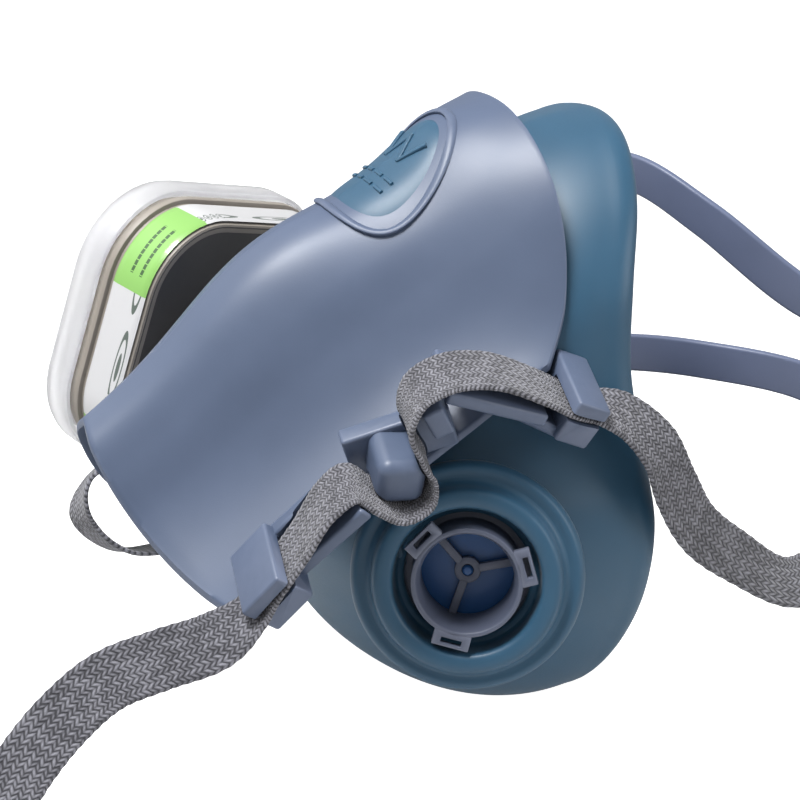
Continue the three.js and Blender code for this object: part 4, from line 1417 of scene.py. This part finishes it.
@dataclass
class Cartridge:
    """The filter cartridge on the far port: case, label band, screens, felt and retainer."""

    ahead: float = -2.0
    up: float = 10.0
    length: float = 87.0
    height: float = 76.0
    corner: float = 23.0
    taper: float = 4.0
    tilt: float = math.radians(14)

    def outline(self, grown: float, corner: int = 14) -> list[Pair]:
        """The cartridge's rounded outline, grown outwards.

        Args:
            grown: how far outside the case.
            corner: steps round each corner.

        Returns:
            The outline, in order.
        """
        a, b, r = self.length / 2 + grown, self.height / 2 + grown, self.corner + grown
        right, left, top = a - r, -a + r, b - r
        centres = ((right, top, 0), (left + self.taper, top, 90), (left, -top, 180), (right, -top, 270))
        outline = []
        for x, y, start in centres:
            for k in range(corner + 1):
                angle = math.radians(start + 90 * k / corner)
                outline.append((x + r * math.cos(angle), y + r * math.sin(angle)))
        return outline

    def matrix(self) -> Matrix:
        """Takes the outline's plane to the far port."""
        spin = Matrix.Rotation(self.tilt, 4, "Z")
        return port_seat(Side.FAR).matrix() @ Matrix.Translation((self.ahead, self.up, 0)) @ spin

    def wall(self, profile: Sequence[Pair], looped: bool = True) -> BMesh:
        """A wall that follows the outline.

        Args:
            profile: pairs of growth and height, in order.
            looped: whether the profile closes on itself.

        Returns:
            The wall.
        """
        outlines = [(self.outline(grown), height) for grown, height in profile]
        count = len(outlines[0][0])
        rows = len(profile) if looped else len(profile) - 1
        start = self.outline(0)
        length = sum(math.dist(p, q) for p, q in zip(start, start[1:] + start[:1]))

        def place(u: float, v: float) -> Vector:
            """The wall's surface point."""
            points, height = outlines[round(v * rows) % len(profile)]
            x, y = points[round(u * count) % count]
            return Vector((x, y, height))

        tall = abs(profile[-1][1] - profile[0][1])
        bm = draped(count, rows, place, (length * MM, tall * MM))
        return moved(close_seams(bm), self.matrix())

    def plate(self, grown: float, low: float, high: float, soft: float = 0.0) -> BMesh:
        """A slab of the outline."""
        bm = prism(self.outline(grown), low, high)
        return moved(softened(bm, soft, 2) if soft else bm, self.matrix())

    def build(self) -> None:
        """Makes every layer of the cartridge."""
        base = CASE_BASE
        far_port = port_seat(Side.FAR).matrix()
        case = self.wall([
            (-1.8, base + 22), (-0.3, base + 22), (0, base + 21.6), (0, base + 18.6), (1.4, base + 18.3),
            (1.6, base + 17.9), (1.6, base + 16.3), (1.4, base + 15.9), (0.2, base + 15.6),
            (0, base + 15), (0, base + 1.6),
            (-0.5, base + 0.5), (-1.6, base), (-2.6, base), (-2.6, base + 2), (-1.8, base + 2),
        ])
        socket = moved(softened(turned([
            (17, 7.4), (17, base - 0.4), (24, base - 0.4), (24, base - 1.6), (21, base - 2.2),
            (19.6, base - 3.6), (19.4, base - 6), (19.4, 7.4),
        ], 84), 0.25, 2), far_port)
        ribs = []
        for k in range(18):
            rib = softened(block(1.2, 1.2, 14, (19.5, 0, 18)), 0.3, 2)
            ribs.append(moved(rib, far_port @ Matrix.Rotation(k * FULL_TURN / 18, 4, "Z")))
        back = self.back_plate(base)
        BENCH.piece("twist_socket", gathered(socket, *ribs), "cartridge", CASE, ["cartridge_socket"])
        BENCH.piece("cartridge_body", case, "cartridge", CASE, ["cartridge_case"])
        # The back plate carries the painted shade: near black where the case's back lies in shadow.
        BENCH.piece("cartridge_back", back, "cartridge", CASE_BACK_SHADE)
        rises = [(0.85, base + 1.1 + 13.4 * k / 12) for k in range(1, 12)]
        band = self.wall([(0.4, base + 1.1), *rises, (0.5, base + 14.5)], looped=False)
        BENCH.piece("cartridge_band", band, "cartridge", LABEL, ["cartridge_label"])
        layers = (
            ("inner_mesh", (-2.2, 2.6, 3.4, 0.0), "cartridge", FELT, "inner_screen"),
            ("granule_bed", (-2.2, 3.8, 20.4, 0.5), "cartridge", CARBON, "carbon_bed"),
            ("outer_mesh", (-2.2, 20.8, 21.6, 0.0), "cartridge", FELT, "outer_screen"),
            ("felt_pad", (-0.4, 22.5, 27, 1.2), "filter_pad", FELT, "dust_filter"),
        )
        for name, (grown, low, high, soft), body, finish, node in layers:
            BENCH.piece(name, self.plate(grown, base + low, base + high, soft), body, finish, [node])
        self.retainer(base)
        seal = softened(turned([(17.2, 5.4), (17.2, 7), (20, 7), (20, 5.4)], 84), 0.5, 3)
        BENCH.piece("port_seal", moved(seal, far_port), "gasket", SILICONE, ["port_gasket"])

    def back_plate(self, base: float) -> BMesh:
        """The plate between the case's wall and its socket, coloured near black as painted shade."""
        plate = prism(self.outline(-1), base + 0.1, base + 1.9)
        bore = moved(turned([(0, base - 2), (0, base + 4), (18, base + 4), (18, base - 2)], 84),
                     self.matrix().inverted() @ port_seat(Side.FAR).matrix())
        return moved(carved(plate, bore), self.matrix())

    def retainer(self, base: float) -> None:
        """The milky retainer over the felt, with its open grille."""
        wall = self.wall([
            (2, base + 18.6), (3.1, base + 18.6), (3.4, base + 19), (3.4, base + 24), (3.3, base + 26.6),
            (2.6, base + 28.4), (1, base + 29.3), (-2, base + 29.4), (-10.4, base + 29.4),
            (-11, base + 28.8), (-11, base + 28), (-10.4, base + 27.4), (0.4, base + 27.4),
            (0.4, base + 22.5), (2, base + 22.3),
        ])
        BENCH.piece("frosted_retainer_cap", wall, "retainer", CLEAR, ["filter_retainer"])


@dataclass
class Cradle:
    """The crown cradle: two smooth arms between looped ends."""

    arm_wide: float = 11.0
    arm_thick: float = 2.4

    def end(self, loop: Loop, reach: float) -> BMesh:
        """A looped end: the bar, its cheeks and the plate past it.

        Args:
            loop: the strap's loop on the bar.
            reach: the plate's length past the slot.

        Returns:
            The end, as one mesh.
        """
        half = WEB_WIDTH / 2 + 1
        rod = bmesh.new()
        bmesh.ops.create_cone(
            rod, cap_ends=True, segments=28, radius1=BAR_RADIUS, radius2=BAR_RADIUS, depth=2 * half + 3
        )
        moved(rod, Matrix.Rotation(math.pi / 2, 4, "X"))
        plate = block(reach, 2 * half + 4.8, 2.6, (6 + reach / 2, 0, 0))
        cheeks = [block(9.5, 2.4, 2.6, (4.2, sign * (half + 1.2), 0)) for sign in (1, -1)]
        whole = carved(carved(plate, cheeks[0], "UNION"), cheeks[1], "UNION")
        bmesh.ops.dissolve_limit(whole, angle_limit=0.02, verts=whole.verts, edges=whole.edges)
        return moved(gathered(softened(whole, 0.5, 3), rod), loop.matrix())

    def arms(self) -> list[BMesh]:
        """The upper and lower arm."""
        near = BAR_NEAR + NEAR_LOOP.along * 8
        far = BAR_FAR + FAR_LOOP.along * 8
        upper = [
            (near, CRADLE_AXIS), *pairs(
                ((20, 122, -12), (0.7, 0.3, 0.5)), ((14, 106, 8), (0.35, 0.1, 0.9)),
                ((0, 80, 22), (0.1, 0.1, 1)),
                ((-20, 60, 41), (0, 0, 1)), ((-42, 49, 50), (0, 0, 1)), ((-68, 42, 44), (0, 0, 1)),
                ((-92, 39, 18), (-0.3, -0.2, 0.9)), ((-104, 36, -12), (-0.7, -0.5, 0.5))),
            (far, -CRADLE_AXIS),
        ]
        lower = [
            (near, CRADLE_AXIS), *pairs(
                ((15, 114, -26), (0.6, 0.2, 0.7)), ((8, 97, -12), (0.3, 0.1, 0.95)),
                ((0, 81.5, -3), (0, 0, 1)),
                ((-20, 61, -0.5), (0, 0, 1)), ((-42, 51, -4), (0, 0, 1)), ((-68, 45, -12), (0, 0, 1)),
                ((-90, 40, -24), (-0.4, -0.3, 0.85))),
            (far, -CRADLE_AXIS),
        ]
        section = rounded_section(self.arm_wide / 2, self.arm_thick / 2, 0.9, 5)
        return [swept(route, section, 160) for route in (upper, lower)]

    def build(self) -> None:
        """Makes the cradle and the strap sliders by it."""
        whole = gathered(self.end(NEAR_LOOP, 7), self.end(FAR_LOOP, 7), *self.arms())
        BENCH.piece("cradle_arms", whole, "cradle", CRADLE, ["crown_cradle"])
        for label, loop, body in (("near", NEAR_LOOP, "slider_left"), ("far", FAR_LOOP, "slider_right")):
            self.slider(label, loop, body)

    def slider(self, label: str, loop: Loop, body: str) -> None:
        """A strap slider with a slot for each run of the strap."""
        half = WEB_WIDTH / 2 + 0.8
        whole = softened(block(9, 2 * half + 4, 9.6, (-SLIDER_DISTANCE, 0, 0)), 1.2, 4)
        for height in (2.4, -2.4):
            whole = carved(whole, block(12, 2 * half, 2.3, (-SLIDER_DISTANCE, 0, height)))
        moved(whole, loop.matrix())
        BENCH.piece(f"strap_slider_{label}", whole, body, CRADLE, [f"slider_{label}"])


@dataclass
class NeckClip:
    """The two halves of the neck clip."""

    def build(self) -> None:
        """Makes the hook and the catch."""
        ends = Cradle()
        hook = ends.end(HOOK_LOOP, 8)
        tongue = carved(block(12, 8, 2, (18, 0, 0)), block(3, 7.2, 4, (22.2, 0, 2.3)), "UNION")
        tongue = moved(softened(tongue, 0.4, 3), HOOK_LOOP.matrix())
        BENCH.piece("clip_hook", gathered(hook, tongue), "hook", CRADLE, ["neck_hook"])
        catch = ends.end(CATCH_LOOP, 8)
        window = carved(block(17, 16, 2.6, (20, 0, 0)), block(8, 9.5, 6, (21, 0, 0)))
        window = moved(softened(window, 0.5, 3), CATCH_LOOP.matrix())
        BENCH.piece("clip_catch", gathered(catch, window), "catch", CRADLE, ["neck_catch"])


# ---------------------------------------------------------------- stage


@dataclass(frozen=True)
class Studio:
    """A pale floor, soft lights and the camera."""

    eye: Point = (0.4472, -0.2234, 0.1858)
    toward: Point = (0.0, -0.040, 0.008)
    lens: float = 90.0
    floor_drop: float = 0.012
    sky: float = 0.36

    def build(self) -> None:
        """Makes the camera first, then the floor and the lights."""
        bpy.context.scene.view_settings.view_transform = "Standard"
        self.camera()
        self.floor()
        self.lights()

    def camera(self) -> None:
        """The camera, at the viewing angle."""
        made = bpy.data.objects.new("camera", bpy.data.cameras.new("camera"))
        made.data.lens = self.lens
        made.data.sensor_width = 36.0
        made.location = self.eye
        aim = Vector(self.toward) - Vector(self.eye)
        made.rotation_mode = "QUATERNION"
        made.rotation_quaternion = aim.to_track_quat("-Z", "Y")
        bpy.context.scene.collection.objects.link(made)
        bpy.context.scene.camera = made

    def floor(self) -> None:
        """The plain pale floor under the lowest piece."""
        low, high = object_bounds()
        bm = bmesh.new()
        bmesh.ops.create_grid(bm, x_segments=1, y_segments=1, size=6)
        bmesh.ops.translate(bm, vec=(0, 0, low.z - self.floor_drop), verts=bm.verts)
        mesh = bpy.data.meshes.new("floor")
        bm.to_mesh(mesh)
        bm.free()
        made = bpy.data.objects.new("floor", mesh)
        ground = bpy.data.materials.new("pale_floor")
        ground.use_nodes = True
        shader = ground.node_tree.nodes["Principled BSDF"]
        shader.inputs["Base Color"].default_value = (0.6, 0.6, 0.6, 1)
        shader.inputs["Roughness"].default_value = 0.9
        shader.inputs["Emission Color"].default_value = (1, 1, 1, 1)
        self.seen_white(ground.node_tree, shader.inputs["Emission Strength"], 0.0, 0.8)
        mesh.materials.append(ground)
        bpy.context.scene.collection.objects.link(made)
        made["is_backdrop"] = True

    @staticmethod
    def seen_white(tree: NodeTree, strength: object, lit: float, seen: float) -> None:
        """Sets a strength so that a surface looks white yet sheds little light.

        Args:
            tree: the node tree.
            strength: the socket.
            lit: the strength that falls on the object.
            seen: the strength that is looked at, straight or through clear plastic.
        """
        path = tree.nodes.new("ShaderNodeLightPath")
        looked = tree.nodes.new("ShaderNodeMath")
        looked.operation = "MAXIMUM"
        tree.links.new(path.outputs["Is Camera Ray"], looked.inputs[0])
        tree.links.new(path.outputs["Is Transmission Ray"], looked.inputs[1])
        shed = tree.nodes.new("ShaderNodeMath")
        shed.operation = "MULTIPLY_ADD"
        tree.links.new(looked.outputs[0], shed.inputs[0])
        shed.inputs[1].default_value = seen - lit
        shed.inputs[2].default_value = lit
        tree.links.new(shed.outputs[0], strength)

    def lights(self) -> None:
        """A pale sky and three large soft lamps."""
        world = bpy.data.worlds.new("sky")
        world.use_nodes = True
        world.node_tree.nodes["Background"].inputs["Color"].default_value = (1, 1, 1, 1)
        strength = world.node_tree.nodes["Background"].inputs["Strength"]
        self.seen_white(world.node_tree, strength, self.sky, 1.0)
        bpy.context.scene.world = world
        lamps = (
            ("key", (0.1, -0.42, 1.05), 0.4, 19.0),
            ("side", (0.75, 0.7, 0.4), 0.5, 3.5),
            ("fill", (-0.6, -0.6, 0.6), 0.8, 2.0),
        )
        for name, place, size, power in lamps:
            lamp = bpy.data.lights.new(name, "AREA")
            lamp.size = size
            lamp.energy = power
            made = bpy.data.objects.new(name, lamp)
            made.location = place
            made.rotation_mode = "QUATERNION"
            made.rotation_quaternion = (Vector((0, -0.04, 0)) - Vector(place)).to_track_quat("-Z", "Y")
            bpy.context.scene.collection.objects.link(made)


def main() -> None:
    """Builds the studio and every sub-assembly in order."""
    logging.basicConfig(level=logging.INFO, format="%(name)s: %(message)s")
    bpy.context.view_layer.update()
    Studio().build()
    shell = NoseShell()
    shell.build()
    Facepiece(shell).build()
    for side in Side:
        Bayonet(side).build()
        Webbing(side).build()
    ExhalationValve().build()
    Cartridge().build()
    Cradle().build()
    NeckClip().build()


if __name__ == "__main__":
    main()
